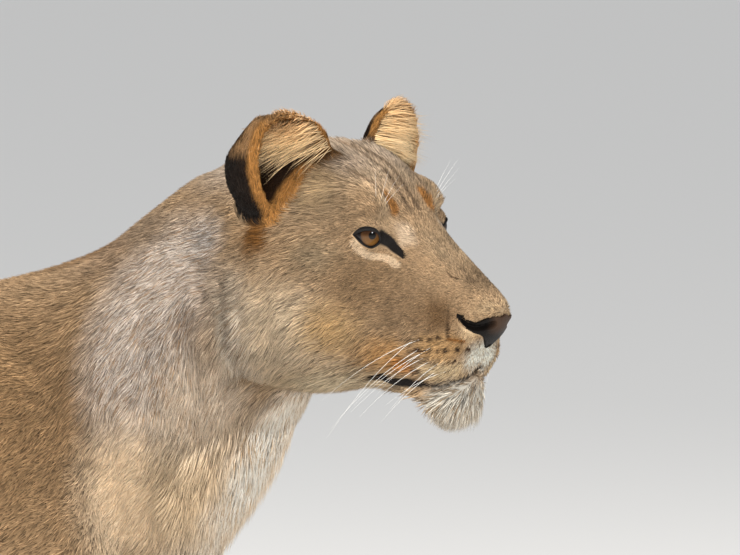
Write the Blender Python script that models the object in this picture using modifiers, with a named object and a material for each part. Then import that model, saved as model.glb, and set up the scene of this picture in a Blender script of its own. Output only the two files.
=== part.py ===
"""A lioness standing at rest, life size, as a still model in separate solids.

+X runs from the tail to the head, +Y to her left and +Z up, in metres. The floor is z = 0 and
the origin lies on it, under the middle of the whole model. Run it with
blender --background --python part.py, or from Blender's text editor.

Every soft form is a loft between named sections or an oval ball. The forms are melted into one
flesh with a voxel remesh, carved a little, thinned, and then parted into nodes by thin cuts.
"""

from collections import namedtuple
from math import cos, pi, radians, sin

import bmesh
import bpy
import numpy as np
from mathutils import Matrix, Vector

# ---------------------------------------------------------------- driving sizes
WITHERS = 0.970  # height of the coat over the shoulder blades
GAP = 0.0003  # width of the cut between two touching nodes
MELT = 0.006  # voxel edge that melts the forms together

# The head has its own axes: f forward, l to her left, u up. The nose tip is at f = 0.31, u = 0.
HEAD_TURN = radians(-13)  # she looks a little to her right
HEAD_AT = Vector((0.768, -0.030, 0.972))
HEAD = Matrix.Translation(HEAD_AT) @ Matrix.Rotation(HEAD_TURN, 4, "Z")

EYE_RADIUS = 0.0185
EYE_AT = Vector((0.1590, 0.0535, 0.0765))  # of her left eye, in the head's axes

SIDES = {"left": 1, "right": -1}

# A section is an oval in an upright plane along the body. top and bottom are its two edges as
# seen from the side (the front and back edges on a leg), half_width its half breadth, widest how
# far down from the top it is broadest, full its squareness (2 is an ellipse), y its side shift.
Section = namedtuple("Section", "top bottom half_width widest full y", defaults=(0.5, 2.1, 0.0))

# A lump is an oval ball. tilt turns its front end down, in degrees.
Lump = namedtuple("Lump", "middle radii tilt", defaults=(0.0,))

TRUNK = (
    Section((0.640, 0.850), (0.655, 0.730), 0.060),
    Section((0.605, 0.925), (0.620, 0.620), 0.110),
    Section((0.535, 0.958), (0.555, 0.540), 0.138),
    Section((0.440, WITHERS), (0.440, 0.503), 0.148, 0.52),
    Section((0.320, 0.950), (0.320, 0.492), 0.155, 0.52),
    Section((0.160, 0.930), (0.160, 0.490), 0.160, 0.54),
    Section((0.000, 0.922), (0.000, 0.499), 0.161, 0.56),
    Section((-0.150, 0.927), (-0.150, 0.515), 0.153, 0.56),
    Section((-0.280, 0.941), (-0.280, 0.547), 0.141, 0.52),
    Section((-0.400, 0.946), (-0.380, 0.600), 0.138, 0.48),
    Section((-0.500, 0.927), (-0.460, 0.660), 0.127, 0.46),
    Section((-0.580, 0.888), (-0.545, 0.715), 0.096, 0.46),
    Section((-0.630, 0.850), (-0.605, 0.765), 0.050),
)

NECK = (
    Section((0.420, 0.970), (0.580, 0.600), 0.140),
    Section((0.490, 0.9880), (0.672, 0.682), 0.136),
    Section((0.565, 1.0170), (0.740, 0.772), 0.124, 0.50, 2.1, -0.006),
    Section((0.627, 1.0600), (0.782, 0.835), 0.115, 0.50, 2.1, -0.014),
    Section((0.690, 1.0990), (0.808, 0.875), 0.108, 0.50, 2.1, -0.022),
    Section((0.750, 1.1050), (0.838, 0.892), 0.098, 0.50, 2.1, -0.028),
)

SKULL = (
    Section((-0.100, 0.100), (-0.060, -0.020), 0.080),
    Section((-0.070, 0.126), (-0.030, -0.060), 0.096, 0.50),
    Section((-0.030, 0.148), (0.000, -0.085), 0.106, 0.54, 2.2),
    Section((0.010, 0.161), (0.030, -0.097), 0.112, 0.58, 2.3),
    Section((0.050, 0.168), (0.060, -0.098), 0.114, 0.62, 2.4),
    Section((0.085, 0.1690), (0.090, -0.090), 0.111, 0.62, 2.5),
    Section((0.115, 0.1635), (0.115, -0.086), 0.104, 0.60, 2.5),
    Section((0.140, 0.149), (0.140, -0.083), 0.094, 0.58, 2.4),
    Section((0.163, 0.125), (0.163, -0.081), 0.081, 0.58, 2.2),
    Section((0.185, 0.0995), (0.185, -0.079), 0.068, 0.62, 2.1),
    Section((0.2135, 0.0735), (0.210, -0.077), 0.0585, 0.66, 2.1),
    Section((0.238, 0.0535), (0.232, -0.073), 0.0550, 0.68, 2.2),
    Section((0.256, 0.0390), (0.248, -0.066), 0.0470, 0.66, 2.1),
    Section((0.271, 0.0280), (0.262, -0.055), 0.0370, 0.58, 2.1),
    Section((0.284, 0.0180), (0.272, -0.041), 0.0300, 0.50, 2.3),
    Section((0.294, 0.0100), (0.281, -0.031), 0.0240, 0.45, 2.3),
    Section((0.3035, 0.0020), (0.293, -0.018), 0.0130),
)

BRIDGE = (
    Section((0.110, 0.160), (0.130, 0.060), 0.050, 0.5, 3.5),
    Section((0.145, 0.1470), (0.155, 0.050), 0.047, 0.5, 3.5),
    Section((0.185, 0.1020), (0.185, 0.030), 0.038, 0.5, 4.0),
    Section((0.2135, 0.0750), (0.210, 0.020), 0.0310, 0.5, 4.0),
    Section((0.250, 0.0460), (0.245, 0.000), 0.0280, 0.5, 4.0),
    Section((0.278, 0.0245), (0.272, -0.010), 0.0270, 0.5, 3.5),
    Section((0.294, 0.0120), (0.284, -0.018), 0.0230, 0.5, 3.0),
    Section((0.3045, 0.0040), (0.296, -0.015), 0.0130),
)

JAW = (
    Section((0.030, -0.020), (0.040, -0.100), 0.066),
    Section((0.080, -0.020), (0.085, -0.099), 0.070),
    Section((0.130, -0.030), (0.135, -0.0910), 0.058),
    Section((0.180, -0.050), (0.185, -0.0960), 0.044),
    Section((0.215, -0.055), (0.215, -0.1080), 0.041),
    Section((0.238, -0.055), (0.236, -0.1160), 0.038),
    Section((0.257, -0.055), (0.252, -0.1090), 0.031),
    Section((0.270, -0.062), (0.264, -0.0900), 0.018),
)

FORELEG = (
    Section((0.500, 0.925), (0.400, 0.925), 0.036, y=0.085),
    Section((0.560, 0.865), (0.375, 0.820), 0.056, y=0.112),
    Section((0.612, 0.760), (0.380, 0.700), 0.066, y=0.126),
    Section((0.615, 0.665), (0.390, 0.600), 0.067, y=0.134),
    Section((0.570, 0.565), (0.400, 0.520), 0.061, y=0.136),
    Section((0.540, 0.480), (0.418, 0.470), 0.052, y=0.133),
    Section((0.538, 0.380), (0.434, 0.385), 0.046, y=0.128),
    Section((0.534, 0.280), (0.450, 0.285), 0.041, y=0.123),
    Section((0.540, 0.200), (0.456, 0.200), 0.040, y=0.120),
    Section((0.536, 0.140), (0.460, 0.140), 0.039, y=0.118),
    Section((0.554, 0.080), (0.464, 0.080), 0.044, y=0.118),
    Section((0.575, 0.030), (0.480, 0.020), 0.046, y=0.118),
)

HINDLEG = (
    Section((-0.300, 0.890), (-0.480, 0.890), 0.045, y=0.080),
    Section((-0.262, 0.790), (-0.590, 0.780), 0.068, y=0.100),
    Section((-0.238, 0.680), (-0.590, 0.670), 0.076, y=0.112),
    Section((-0.236, 0.590), (-0.548, 0.570), 0.070, y=0.122),
    Section((-0.252, 0.515), (-0.500, 0.490), 0.058, y=0.126),
    Section((-0.325, 0.432), (-0.490, 0.432), 0.046, y=0.125),
    Section((-0.410, 0.357), (-0.518, 0.385), 0.036, y=0.123),
    Section((-0.490, 0.292), (-0.578, 0.332), 0.031, y=0.120),
    Section((-0.522, 0.243), (-0.603, 0.278), 0.030, y=0.118),
    Section((-0.526, 0.190), (-0.590, 0.200), 0.029, y=0.118),
    Section((-0.516, 0.120), (-0.578, 0.120), 0.030, y=0.118),
    Section((-0.496, 0.070), (-0.566, 0.060), 0.037, y=0.118),
    Section((-0.470, 0.030), (-0.552, 0.020), 0.041, y=0.118),
)

# The tail hangs from the croup and its tuft curls back just above the floor.
TAIL_PATH = (
    (-0.570, 0.000, 0.850),
    (-0.640, 0.000, 0.838),
    (-0.705, 0.002, 0.790),
    (-0.757, 0.006, 0.690),
    (-0.785, 0.014, 0.560),
    (-0.797, 0.026, 0.430),
    (-0.806, 0.042, 0.315),
    (-0.838, 0.062, 0.225),
    (-0.893, 0.084, 0.170),
    (-0.950, 0.104, 0.152),
)
TAIL_RADII = (0.042, 0.036, 0.030, 0.0245, 0.0215, 0.0195, 0.0185, 0.0290, 0.0300, 0.0080)

# Lumps of the head, in its own axes. All but the chin are given for her left side.
CHIN_LUMP = Lump((0.234, 0.0, -0.093), (0.034, 0.036, 0.027))
FACE_LUMPS = {
    "pad": Lump((0.233, 0.026, -0.040), (0.036, 0.031, 0.034), 12),
    "lip": Lump((0.248, 0.016, -0.042), (0.026, 0.020, 0.024)),
    "nostril": Lump((0.268, 0.0165, -0.005), (0.019, 0.014, 0.015)),
    "brow": Lump((0.146, 0.044, 0.104), (0.034, 0.034, 0.028)),
}
MUSCLE_LUMPS = {
    "haunch": Lump((-0.420, 0.098, 0.760), (0.155, 0.075, 0.135)),
    "shoulder": Lump((0.500, 0.108, 0.765), (0.115, 0.074, 0.165), -24),
    "elbow": Lump((0.425, 0.140, 0.515), (0.036, 0.030, 0.042)),
}
PAW_LUMPS = {
    "fore": Lump((0.560, 0.118, 0.039), (0.074, 0.058, 0.045)),
    "hind": Lump((-0.488, 0.118, 0.037), (0.069, 0.052, 0.042)),
}
TOES = 4
TOE_RADII = (0.028, 0.0175, 0.032)
TOE_HEIGHT = 0.027
TOE_REACH = {"fore": 0.047, "hind": 0.045}  # of the middle toes, before the paw's middle
OUTER_TOE_BACK = 0.010  # how far the outer toes lie behind the middle ones
TOE_SPREAD = 0.68  # place of the outer toes, in half widths of the paw

# How far each leg is set forward at the floor, as in an easy stand.
STRIDE = {
    ("fore", "left"): 0.045,
    ("fore", "right"): -0.030,
    ("hind", "left"): -0.050,
    ("hind", "right"): 0.045,
}
STRIDE_FROM = {"fore": 0.70, "hind": 0.72}  # height of the joint that each leg swings about


# ---------------------------------------------------------------- making forms
def clear_scene():
    for old in list(bpy.data.objects):
        bpy.data.objects.remove(old, do_unlink=True)


def collection(name):
    made = bpy.data.collections.new(name)
    bpy.context.scene.collection.children.link(made)
    return made


def catmull(keys, steps):
    """Rows of numbers, smoothly filled in with this many steps between each two keys."""
    keys = np.array(keys, float)
    ends = np.vstack([2 * keys[0] - keys[1], keys, 2 * keys[-1] - keys[-2]])
    rows = []
    for i in range(1, len(ends) - 2):
        a, b, c, d = ends[i - 1 : i + 3]
        for t in np.arange(steps) / steps:
            cubic = (3 * (b - c) + d - a) * t**3 + (2 * a - 5 * b + 4 * c - d) * t**2
            rows.append(b + 0.5 * (cubic + (c - a) * t))
    return np.array([*rows, keys[-1]])


def rings_to_mesh(name, rings):
    """A closed mesh through rings of equal numbers of points, with a fan at each end."""
    count, around = len(rings), len(rings[0])
    middles = [np.mean(rings[0], axis=0), np.mean(rings[-1], axis=0)]
    points = np.vstack([*rings, *middles])
    first, last = count * around, count * around + 1
    faces = []
    for r in range(count - 1):
        for k in range(around):
            here, beside = r * around + k, r * around + (k + 1) % around
            faces.append((here, beside, beside + around, here + around))
    for k in range(around):
        beside = (k + 1) % around
        faces.append((first, beside, k))
        faces.append((last, (count - 1) * around + k, (count - 1) * around + beside))
    mesh = bpy.data.meshes.new(name)
    mesh.from_pydata(points.tolist(), [], faces)
    fix = bmesh.new()
    fix.from_mesh(mesh)
    bmesh.ops.recalc_face_normals(fix, faces=fix.faces)
    fix.to_mesh(mesh)
    fix.free()
    return bpy.data.objects.new(name, mesh)


def oval(middle, side, up, half_width, above, below, full, around):
    """Points round an oval: half_width to each side, above over the middle and below under it."""
    ring = []
    for k in range(around):
        c, s = cos(2 * pi * k / around), sin(2 * pi * k / around)
        out = np.sign(c) * abs(c) ** (2 / full) * half_width
        rise = np.sign(s) * abs(s) ** (2 / full) * (above if s > 0 else below)
        ring.append(middle + side * out + up * rise)
    return ring


def loft(name, sections, mirror=1, place=None, around=28, steps=5):
    """A form through upright sections. mirror is -1 for her right side."""
    keys = [(*s.top, *s.bottom, s.half_width, s.widest, s.full, s.y) for s in sections]
    side = np.array((0.0, 1.0, 0.0))
    rings = []
    for tx, tz, bx, bz, half_width, widest, full, y in catmull(keys, steps):
        top, bottom = np.array((tx, y * mirror, tz)), np.array((bx, y * mirror, bz))
        reach = np.linalg.norm(top - bottom)
        up = (top - bottom) / reach
        middle = top + (bottom - top) * widest
        rings.append(
            oval(middle, side, up, half_width, widest * reach, (1 - widest) * reach, full, around)
        )
    form = rings_to_mesh(name, rings)
    if place is not None:
        form.data.transform(place)
    return form


def tube(name, path, radii, around=20, steps=5):
    """A round form along a path of points."""
    rows = catmull([(*p, r) for p, r in zip(path, radii)], steps)
    ahead = np.gradient(rows[:, :3], axis=0)
    rings = []
    for row, direction in zip(rows, ahead):
        direction = direction / np.linalg.norm(direction)
        side = np.cross((0.0, 0.0, 1.0), direction)
        side = np.array((0.0, 1.0, 0.0)) if np.linalg.norm(side) < 0.1 else side
        side = side - direction * (side @ direction)
        side = side / np.linalg.norm(side)
        if side[1] < 0:
            side = -side
        up = np.cross(direction, side)
        radius = row[3]
        rings.append(oval(row[:3], side, up, radius, radius, radius, 2, around))
    return rings_to_mesh(name, rings)


def ball(name, middle, radii, place=None, tilt=0.0, turn=0.0):
    """An oval ball. tilt turns its front end down, and turn turns it to the left, in degrees."""
    mesh = bpy.data.meshes.new(name)
    made = bmesh.new()
    bmesh.ops.create_uvsphere(made, u_segments=16, v_segments=10, radius=1.0)
    made.to_mesh(mesh)
    made.free()
    about = Matrix.Rotation(radians(turn), 4, "Z") @ Matrix.Rotation(radians(tilt), 4, "Y")
    shape = Matrix.Translation(middle) @ about
    mesh.transform((place or Matrix()) @ shape @ Matrix.Diagonal((*radii, 1.0)))
    return bpy.data.objects.new(name, mesh)


def lump(name, shape, mirror=1, place=None):
    """The ball of a Lump."""
    x, y, z = shape.middle
    return ball(name + "_form", (x, y * mirror, z), shape.radii, place, shape.tilt)


# ---------------------------------------------------------------- her forms
def trunk_forms():
    return [loft("trunk_form", TRUNK), loft("neck_form", NECK)]


def head_forms():
    """Skull, bridge of the nose, lower jaw, chin and whisker pads."""
    forms = [
        loft("skull_form", SKULL, place=HEAD),
        loft("bridge_form", BRIDGE, place=HEAD),
        loft("jaw_form", JAW, place=HEAD),
        lump("chin", CHIN_LUMP, place=HEAD),
    ]
    for mirror in SIDES.values():
        forms += [lump(name, shape, mirror, HEAD) for name, shape in FACE_LUMPS.items()]
    return forms


def stepped(point, leg, side):
    """A point of a leg, moved forward by its stride: none at its joint, all of it at the floor."""
    x, z = point
    share = min(max(1 - z / STRIDE_FROM[leg], 0.0), 1.0)
    return (x + STRIDE[leg, side] * share, z)


def leg_forms(leg, side, sections):
    """One leg with its paw and toes."""
    mirror = SIDES[side]
    placed = [
        s._replace(top=stepped(s.top, leg, side), bottom=stepped(s.bottom, leg, side))
        for s in sections
    ]
    (x, y, z), paw_radii, tilt = PAW_LUMPS[leg]
    x += STRIDE[leg, side]
    forms = [
        loft(f"{leg}leg_form", placed, mirror),
        lump("paw", Lump((x, y, z), paw_radii, tilt), mirror),
    ]
    for k in range(TOES):
        across = 2 * k / (TOES - 1) - 1
        back = OUTER_TOE_BACK if k in (0, TOES - 1) else 0.0
        there = (x + TOE_REACH[leg] - back, y + across * TOE_SPREAD * paw_radii[1], TOE_HEIGHT)
        forms.append(lump("toe", Lump(there, TOE_RADII), mirror))
    return forms


def all_forms():
    forms = trunk_forms() + head_forms()
    for side, mirror in SIDES.items():
        forms += leg_forms("fore", side, FORELEG) + leg_forms("hind", side, HINDLEG)
        forms += [lump(name, shape, mirror) for name, shape in MUSCLE_LUMPS.items()]
    forms.append(tube("tail_form", TAIL_PATH, TAIL_RADII))
    return forms


# ---------------------------------------------------------------- melting and carving
def evaluated_mesh(obj):
    graph = bpy.context.evaluated_depsgraph_get()
    return bpy.data.meshes.new_from_object(obj.evaluated_get(graph), depsgraph=graph)


def with_modifiers(obj, *modifiers):
    """obj's mesh with these modifiers applied. Each is a type and a dictionary of settings."""
    bpy.context.scene.collection.objects.link(obj)
    for kind, settings in modifiers:
        modifier = obj.modifiers.new(kind.title(), kind)
        for key, value in settings.items():
            setattr(modifier, key, value)
    bpy.context.view_layer.update()
    mesh = evaluated_mesh(obj)
    bpy.data.objects.remove(obj)
    return mesh


def joined(name, forms):
    """The forms' meshes in one object."""
    together = bmesh.new()
    for form in forms:
        together.from_mesh(form.data)
    mesh = bpy.data.meshes.new(name)
    together.to_mesh(mesh)
    together.free()
    for form in forms:
        bpy.data.objects.remove(form)
    return bpy.data.objects.new(name, mesh)


def push(points, middle, reach, move):
    """Moves points near middle by move, fading smoothly to nothing at reach."""
    away = np.linalg.norm((points - middle) / reach, axis=1)
    share = np.clip(1 - away**2, 0, 1) ** 2
    return points + share[:, None] * np.array(move)


# Strokes of the carving, for her left side: middle, reach and move, in the head's axes.
FACE_STROKES = {
    "cheek": ((0.075, 0.100, -0.015), (0.085, 0.060, 0.080), (0.0, 0.010, 0.0)),
    "ruff": ((0.030, 0.095, -0.060), (0.065, 0.060, 0.065), (0.0, 0.014, -0.004)),
    "cheekbone": ((0.128, 0.085, 0.035), (0.050, 0.035, 0.036), (0.0, 0.007, 0.0)),
    "eye_socket": ((0.176, 0.064, 0.074), (0.036, 0.034, 0.026), (0.001, 0.002, 0.0)),
    "under_eye": ((0.195, 0.056, 0.040), (0.032, 0.024, 0.030), (-0.001, -0.005, 0.0)),
    "behind_pad": ((0.192, 0.060, -0.034), (0.022, 0.026, 0.045), (0.0, -0.006, 0.0)),
    "lip_line": ((0.220, 0.042, -0.080), (0.050, 0.030, 0.010), (0.0, -0.006, 0.0)),
    "pad_crease": ((0.247, 0.042, -0.010), (0.012, 0.020, 0.028), (-0.001, -0.004, 0.0)),
    "jaw_crease": ((-0.015, 0.095, -0.055), (0.040, 0.055, 0.085), (0.0, -0.009, 0.0)),
    "temple": ((0.115, 0.085, 0.110), (0.045, 0.035, 0.040), (0.0, -0.006, -0.002)),
    "forehead": ((0.130, 0.000, 0.160), (0.070, 0.024, 0.030), (0.0, 0.0, -0.002)),
}


def carve_face(points):
    """Every stroke on both sides. A stroke on the middle line acts once for each side."""
    for middle, reach, move in FACE_STROKES.values():
        for mirror in SIDES.values():
            there = np.array(middle) * (1, mirror, 1)
            points = push(points, there, reach, np.array(move) * (1, mirror, 1))
    return points


def carved(mesh):
    """The melted flesh with the face carved, in the head's own axes."""
    flat = np.empty(len(mesh.vertices) * 3, np.float32)
    mesh.vertices.foreach_get("co", flat)
    into = np.array(HEAD.inverted())
    points = flat.reshape(-1, 3).astype(float) @ into[:3, :3].T + into[:3, 3]
    points = carve_face(points)
    out = np.array(HEAD)
    points = points @ out[:3, :3].T + out[:3, 3]
    mesh.vertices.foreach_set("co", points.astype(np.float32).ravel())
    mesh.update()
    return mesh


def in_head_axes(points):
    into = np.array(HEAD.inverted())
    return points @ into[:3, :3].T + into[:3, 3]


def face_region(points):
    place = in_head_axes(points)
    return (place[:, 0] > 0.105) & (place[:, 2] > -0.14)


def head_region(points):
    place = in_head_axes(points)
    return (place[:, 0] > -0.06) & (place[:, 0] <= 0.105) & (place[:, 2] > -0.14)


def paw_region(points):
    return points[:, 2] < 0.12


def body_region(points):
    return ~face_region(points) & ~head_region(points) & ~paw_region(points)


# Each region of the flesh, with the share of its triangles that thinning leaves.
THINNING = (
    (body_region, 0.0125),
    (paw_region, 0.055),
    (head_region, 0.055),
    (face_region, 0.105),
)


def thin_out(obj):
    """Thins the mesh region by region, and least where the form is finest."""
    bpy.context.view_layer.objects.active = obj
    obj.select_set(True)
    for region, share in THINNING:
        bpy.ops.object.mode_set(mode="EDIT")
        bpy.ops.mesh.select_mode(type="FACE")
        bpy.ops.mesh.select_all(action="DESELECT")
        bpy.ops.object.mode_set(mode="OBJECT")
        middles = np.array([p.center for p in obj.data.polygons])
        obj.data.polygons.foreach_set("select", region(middles))
        bpy.ops.object.mode_set(mode="EDIT")
        bpy.ops.mesh.decimate(ratio=share)
        bpy.ops.object.mode_set(mode="OBJECT")
    obj.select_set(False)


def make_flesh():
    """The whole animal but her ears and eyes, as one closed mesh."""
    melted = with_modifiers(
        joined("flesh", all_forms()),
        ("REMESH", {"mode": "VOXEL", "voxel_size": MELT}),
        ("SMOOTH", {"factor": 0.6, "iterations": 7}),
        ("TRIANGULATE", {}),
    )
    return bpy.data.objects.new("flesh", carved(melted))


# ---------------------------------------------------------------- ears and eyes
# Her ears turn on their own: the right one listens outwards, the left one ahead.
EAR_TURN = {"left": 2.0, "right": -24.0}  # degrees, of the opening from straight ahead
EAR_TIP = (0.088, 0.104, 0.203)  # of her left ear, in the head's axes
EAR_LEAN = 20.0  # degrees outwards from upright
EAR_HALF = (0.053, 0.046, 0.068)  # depth of the cup, half width, half height
EAR_THICK = 0.0075
EAR_RIM = 0.12  # how far before the middle of the egg its shell is cut off, in cup depths
EAR_SHEAR = 0.70  # how far the back of the cup lies outwards, for each unit that it lies back

# The opening between the lids of her left eye, along the line from outer to inner corner.
LID_SLIT = {"middle": (0.173, 0.059, 0.0740), "radii": (0.0225, 0.0160, 0.0095)}
LID_SLIT_TURN = -40.0
LID_SLIT_TILT = 18.0


def ear_shell(side):
    """A cup like half an egg's shell, open to the front. Its lower third goes into the head."""
    mirror = SIDES[side]
    mesh = bpy.data.meshes.new("ear_" + side)
    cup = bmesh.new()
    bmesh.ops.create_uvsphere(cup, u_segments=16, v_segments=10, radius=1.0)
    bmesh.ops.bisect_plane(
        cup,
        geom=[*cup.verts, *cup.edges, *cup.faces],
        plane_co=(EAR_RIM, 0, 0),
        plane_no=(1, 0, 0),
        clear_outer=True,
    )
    cup.to_mesh(mesh)
    cup.free()
    shear = Matrix(((1, 0, 0, 0), (-EAR_SHEAR * mirror, 1, 0, 0), (0, 0, 1, 0), (0, 0, 0, 1)))
    mesh.transform(shear @ Matrix.Diagonal((*EAR_HALF, 1.0)))
    obj = bpy.data.objects.new("ear_" + side, mesh)
    shell = with_modifiers(
        obj,
        ("SOLIDIFY", {"thickness": EAR_THICK, "offset": -1.0}),
        ("TRIANGULATE", {}),
    )
    turn = Matrix.Rotation(radians(EAR_TURN[side]), 4, "Z")
    lean = Matrix.Rotation(radians(-EAR_LEAN * mirror), 4, "X")
    f, l, u = EAR_TIP
    tip = Vector((f, l * mirror, u))
    top = lean @ turn @ Vector((0.0, 0.0, EAR_HALF[2]))
    shell.transform(HEAD @ Matrix.Translation(tip - top) @ lean @ turn)
    return bpy.data.objects.new("ear_" + side, shell)


def eye_ball(name, side, radius):
    f, l, u = EYE_AT
    return ball(name, (f, l * SIDES[side], u), (radius,) * 3, HEAD)


def lid_slit(side):
    mirror = SIDES[side]
    f, l, u = LID_SLIT["middle"]
    place = (f, l * mirror, u)
    return ball("slit", place, LID_SLIT["radii"], HEAD, LID_SLIT_TILT, LID_SLIT_TURN * mirror)


# ---------------------------------------------------------------- parting into nodes
# A block parts what lies inside it from the rest. Each has a middle, a size and a turn about Y.
Block = namedtuple("Block", "middle size turn", defaults=(0.0,))

BIG = 0.8
FLOOR_BLOCK = Block((0.0, 0.0, -0.1), (3.0, 1.0, 0.2))

# The face of this block behind the ears and under the throat, in the head's axes.
HEAD_BLOCK = Block((0.3776, 0.0, 0.1494), (BIG, BIG, BIG), -21.6)
JAW_BLOCK = Block((0.275, 0.0, -0.1470), (0.170, 0.2, 0.150), -12.0)
NOSE_BALL = {"middle": (0.2985, 0.0, -0.0125), "radii": (0.033, 0.033, 0.0215)}
NOSE_TILT = 20.0

NECK_BLOCK = Block((0.960, 0.0, 0.970), (BIG, BIG, 1.0), -23.7)

# The order matters: each block parts what the ones before it left.
BODY_BLOCKS = {
    "foreleg": Block((0.550, 0.160, 0.235), (0.33, 0.22, 0.70)),
    "hindleg": Block((-0.475, 0.160, 0.240), (0.54, 0.22, 0.70)),
}
PAW_TOPS = {"foreleg": ("forepaw", 0.115), "hindleg": ("hindpaw", 0.105)}
PAW_BLOCK_SIZE = (1.0, 0.5, 1.0)
TAIL_BLOCKS = {
    "tail_end": Block((-0.860, 0.0, 0.130), (0.40, 0.5, 0.40)),
    "tail_middle": Block((-0.860, 0.0, 0.400), (0.40, 0.5, 0.50)),
    "tail_base": Block((-0.860, 0.0, 0.600), (0.388, 0.5, 0.70)),
}
TRUNK_BLOCKS = {
    "rump": Block((-0.620, 0.0, 0.700), (0.80, 0.8, 0.90)),
    "belly": Block((-0.100, 0.0, 0.700), (0.60, 0.8, 0.90)),
}


def block(shape, mirror=1, place=None, grow=0.0):
    """The box of a Block, grown by so much all over."""
    mesh = bpy.data.meshes.new("block")
    made = bmesh.new()
    bmesh.ops.create_cube(made, size=1.0)
    made.to_mesh(mesh)
    made.free()
    x, y, z = shape.middle
    there = Matrix.Translation((x, y * mirror, z)) @ Matrix.Rotation(radians(shape.turn), 4, "Y")
    size = [extent + 2 * grow for extent in shape.size]
    mesh.transform((place or Matrix()) @ there @ Matrix.Diagonal((*size, 1.0)))
    return bpy.data.objects.new("block", mesh)


def boolean(obj, cutter, operation):
    """obj's mesh after a Boolean with the cutter."""
    scene = bpy.context.scene.collection
    copy = bpy.data.objects.new("cut", obj.data.copy())
    scene.objects.link(copy)
    scene.objects.link(cutter)
    modifier = copy.modifiers.new("cut", "BOOLEAN")
    modifier.operation = operation
    modifier.object = cutter
    bpy.context.view_layer.update()
    mesh = evaluated_mesh(copy)
    scene.objects.unlink(cutter)
    bpy.data.objects.remove(copy)
    return mesh


def without(obj, cutter):
    obj.data = boolean(obj, cutter, "DIFFERENCE")
    bpy.data.objects.remove(cutter)


def part_off(obj, name, shape, mirror=1, place=None):
    """Takes what lies inside the block off obj, as a new object, with a thin gap between them."""
    inner = block(shape, mirror, place)
    piece = bpy.data.objects.new(name, boolean(obj, inner, "INTERSECT"))
    bpy.data.objects.remove(inner)
    without(obj, block(shape, mirror, place, GAP))
    return piece


def nose_ball(radii_more=0.0):
    radii = [r + radii_more for r in NOSE_BALL["radii"]]
    return ball("nose_cutter", NOSE_BALL["middle"], radii, HEAD, NOSE_TILT)


def part_head(head):
    """Sockets, nose, lower jaw and ears, all from the head, which is left smaller."""
    nodes = []
    grown = with_modifiers(
        bpy.data.objects.new("grown", head.data.copy()),
        ("DISPLACE", {"strength": GAP, "mid_level": 0.0}),
    )
    for side in SIDES:
        ear = ear_shell(side)
        without(ear, bpy.data.objects.new("grown", grown.copy()))
        nodes += [ear, eye_ball("eye_" + side, side, EYE_RADIUS)]
        without(head, eye_ball("socket", side, EYE_RADIUS + GAP))
        without(head, lid_slit(side))
    nose = nose_ball()
    nodes.append(bpy.data.objects.new("nose", boolean(head, nose, "INTERSECT")))
    bpy.data.objects.remove(nose)
    without(head, nose_ball(GAP))
    nodes.append(part_off(head, "lower_jaw", JAW_BLOCK, place=HEAD))
    return nodes


def part_legs(body):
    nodes = []
    for leg, shape in BODY_BLOCKS.items():
        paw, top = PAW_TOPS[leg]
        x, y = shape.middle[:2]
        paw_block = Block((x, y, top - PAW_BLOCK_SIZE[2] / 2), PAW_BLOCK_SIZE)
        for side, mirror in SIDES.items():
            limb = part_off(body, f"{leg}_{side}", shape, mirror)
            nodes += [limb, part_off(limb, f"{paw}_{side}", paw_block, mirror)]
    return nodes


def all_nodes():
    flesh = make_flesh()
    bpy.context.scene.collection.objects.link(flesh)
    thin_out(flesh)
    bpy.context.scene.collection.objects.unlink(flesh)
    without(flesh, block(FLOOR_BLOCK))
    head = part_off(flesh, "head", HEAD_BLOCK, place=HEAD)
    nodes = [head, *part_head(head), part_off(flesh, "neck", NECK_BLOCK)]
    nodes += [part_off(flesh, name, shape) for name, shape in TAIL_BLOCKS.items()]
    nodes += part_legs(flesh)
    nodes += [part_off(flesh, name, shape) for name, shape in TRUNK_BLOCKS.items()]
    flesh.name = "chest"
    return [*nodes, flesh]


# ---------------------------------------------------------------- finishing
SHARP_EDGE = radians(50)  # a cut edge, which the smooth shading keeps
COAT = (0.46, 0.33, 0.20)
COLOURS = {
    "nose": (0.030, 0.022, 0.020),
    "eye": (0.330, 0.170, 0.045),
    "ear": (0.40, 0.28, 0.16),
    "lower_jaw": (0.72, 0.66, 0.55),
    "tail_end": (0.085, 0.060, 0.045),
}
ROUGHNESS = {"nose": 0.35, "eye": 0.08}


def material(name):
    kind = next((key for key in COLOURS if name.startswith(key)), None)
    made = bpy.data.materials.new(name)
    made.use_nodes = True
    shader = made.node_tree.nodes["Principled BSDF"]
    shader.inputs["Base Color"].default_value = (*COLOURS.get(kind, COAT), 1.0)
    shader.inputs["Roughness"].default_value = ROUGHNESS.get(kind, 0.85)
    return made


def tidy(obj):
    """Welds, triangulates and keeps the largest piece, dropping crumbs that a cut may leave."""
    mesh = bmesh.new()
    mesh.from_mesh(obj.data)
    bmesh.ops.triangulate(mesh, faces=mesh.faces)
    left = set(mesh.verts)
    islands = []
    while left:
        reached = [left.pop()]
        island = set(reached)
        while reached:
            for edge in reached.pop().link_edges:
                for vert in edge.verts:
                    if vert in left:
                        left.discard(vert)
                        island.add(vert)
                        reached.append(vert)
        islands.append(island)
    islands.sort(key=len)
    crumbs = [vert for island in islands[:-1] for vert in island]
    if crumbs:
        print(obj.name, "loses crumbs of", [len(island) for island in islands[:-1]], "points")
    bmesh.ops.delete(mesh, geom=crumbs, context="VERTS")
    mesh.to_mesh(obj.data)
    mesh.free()


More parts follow.
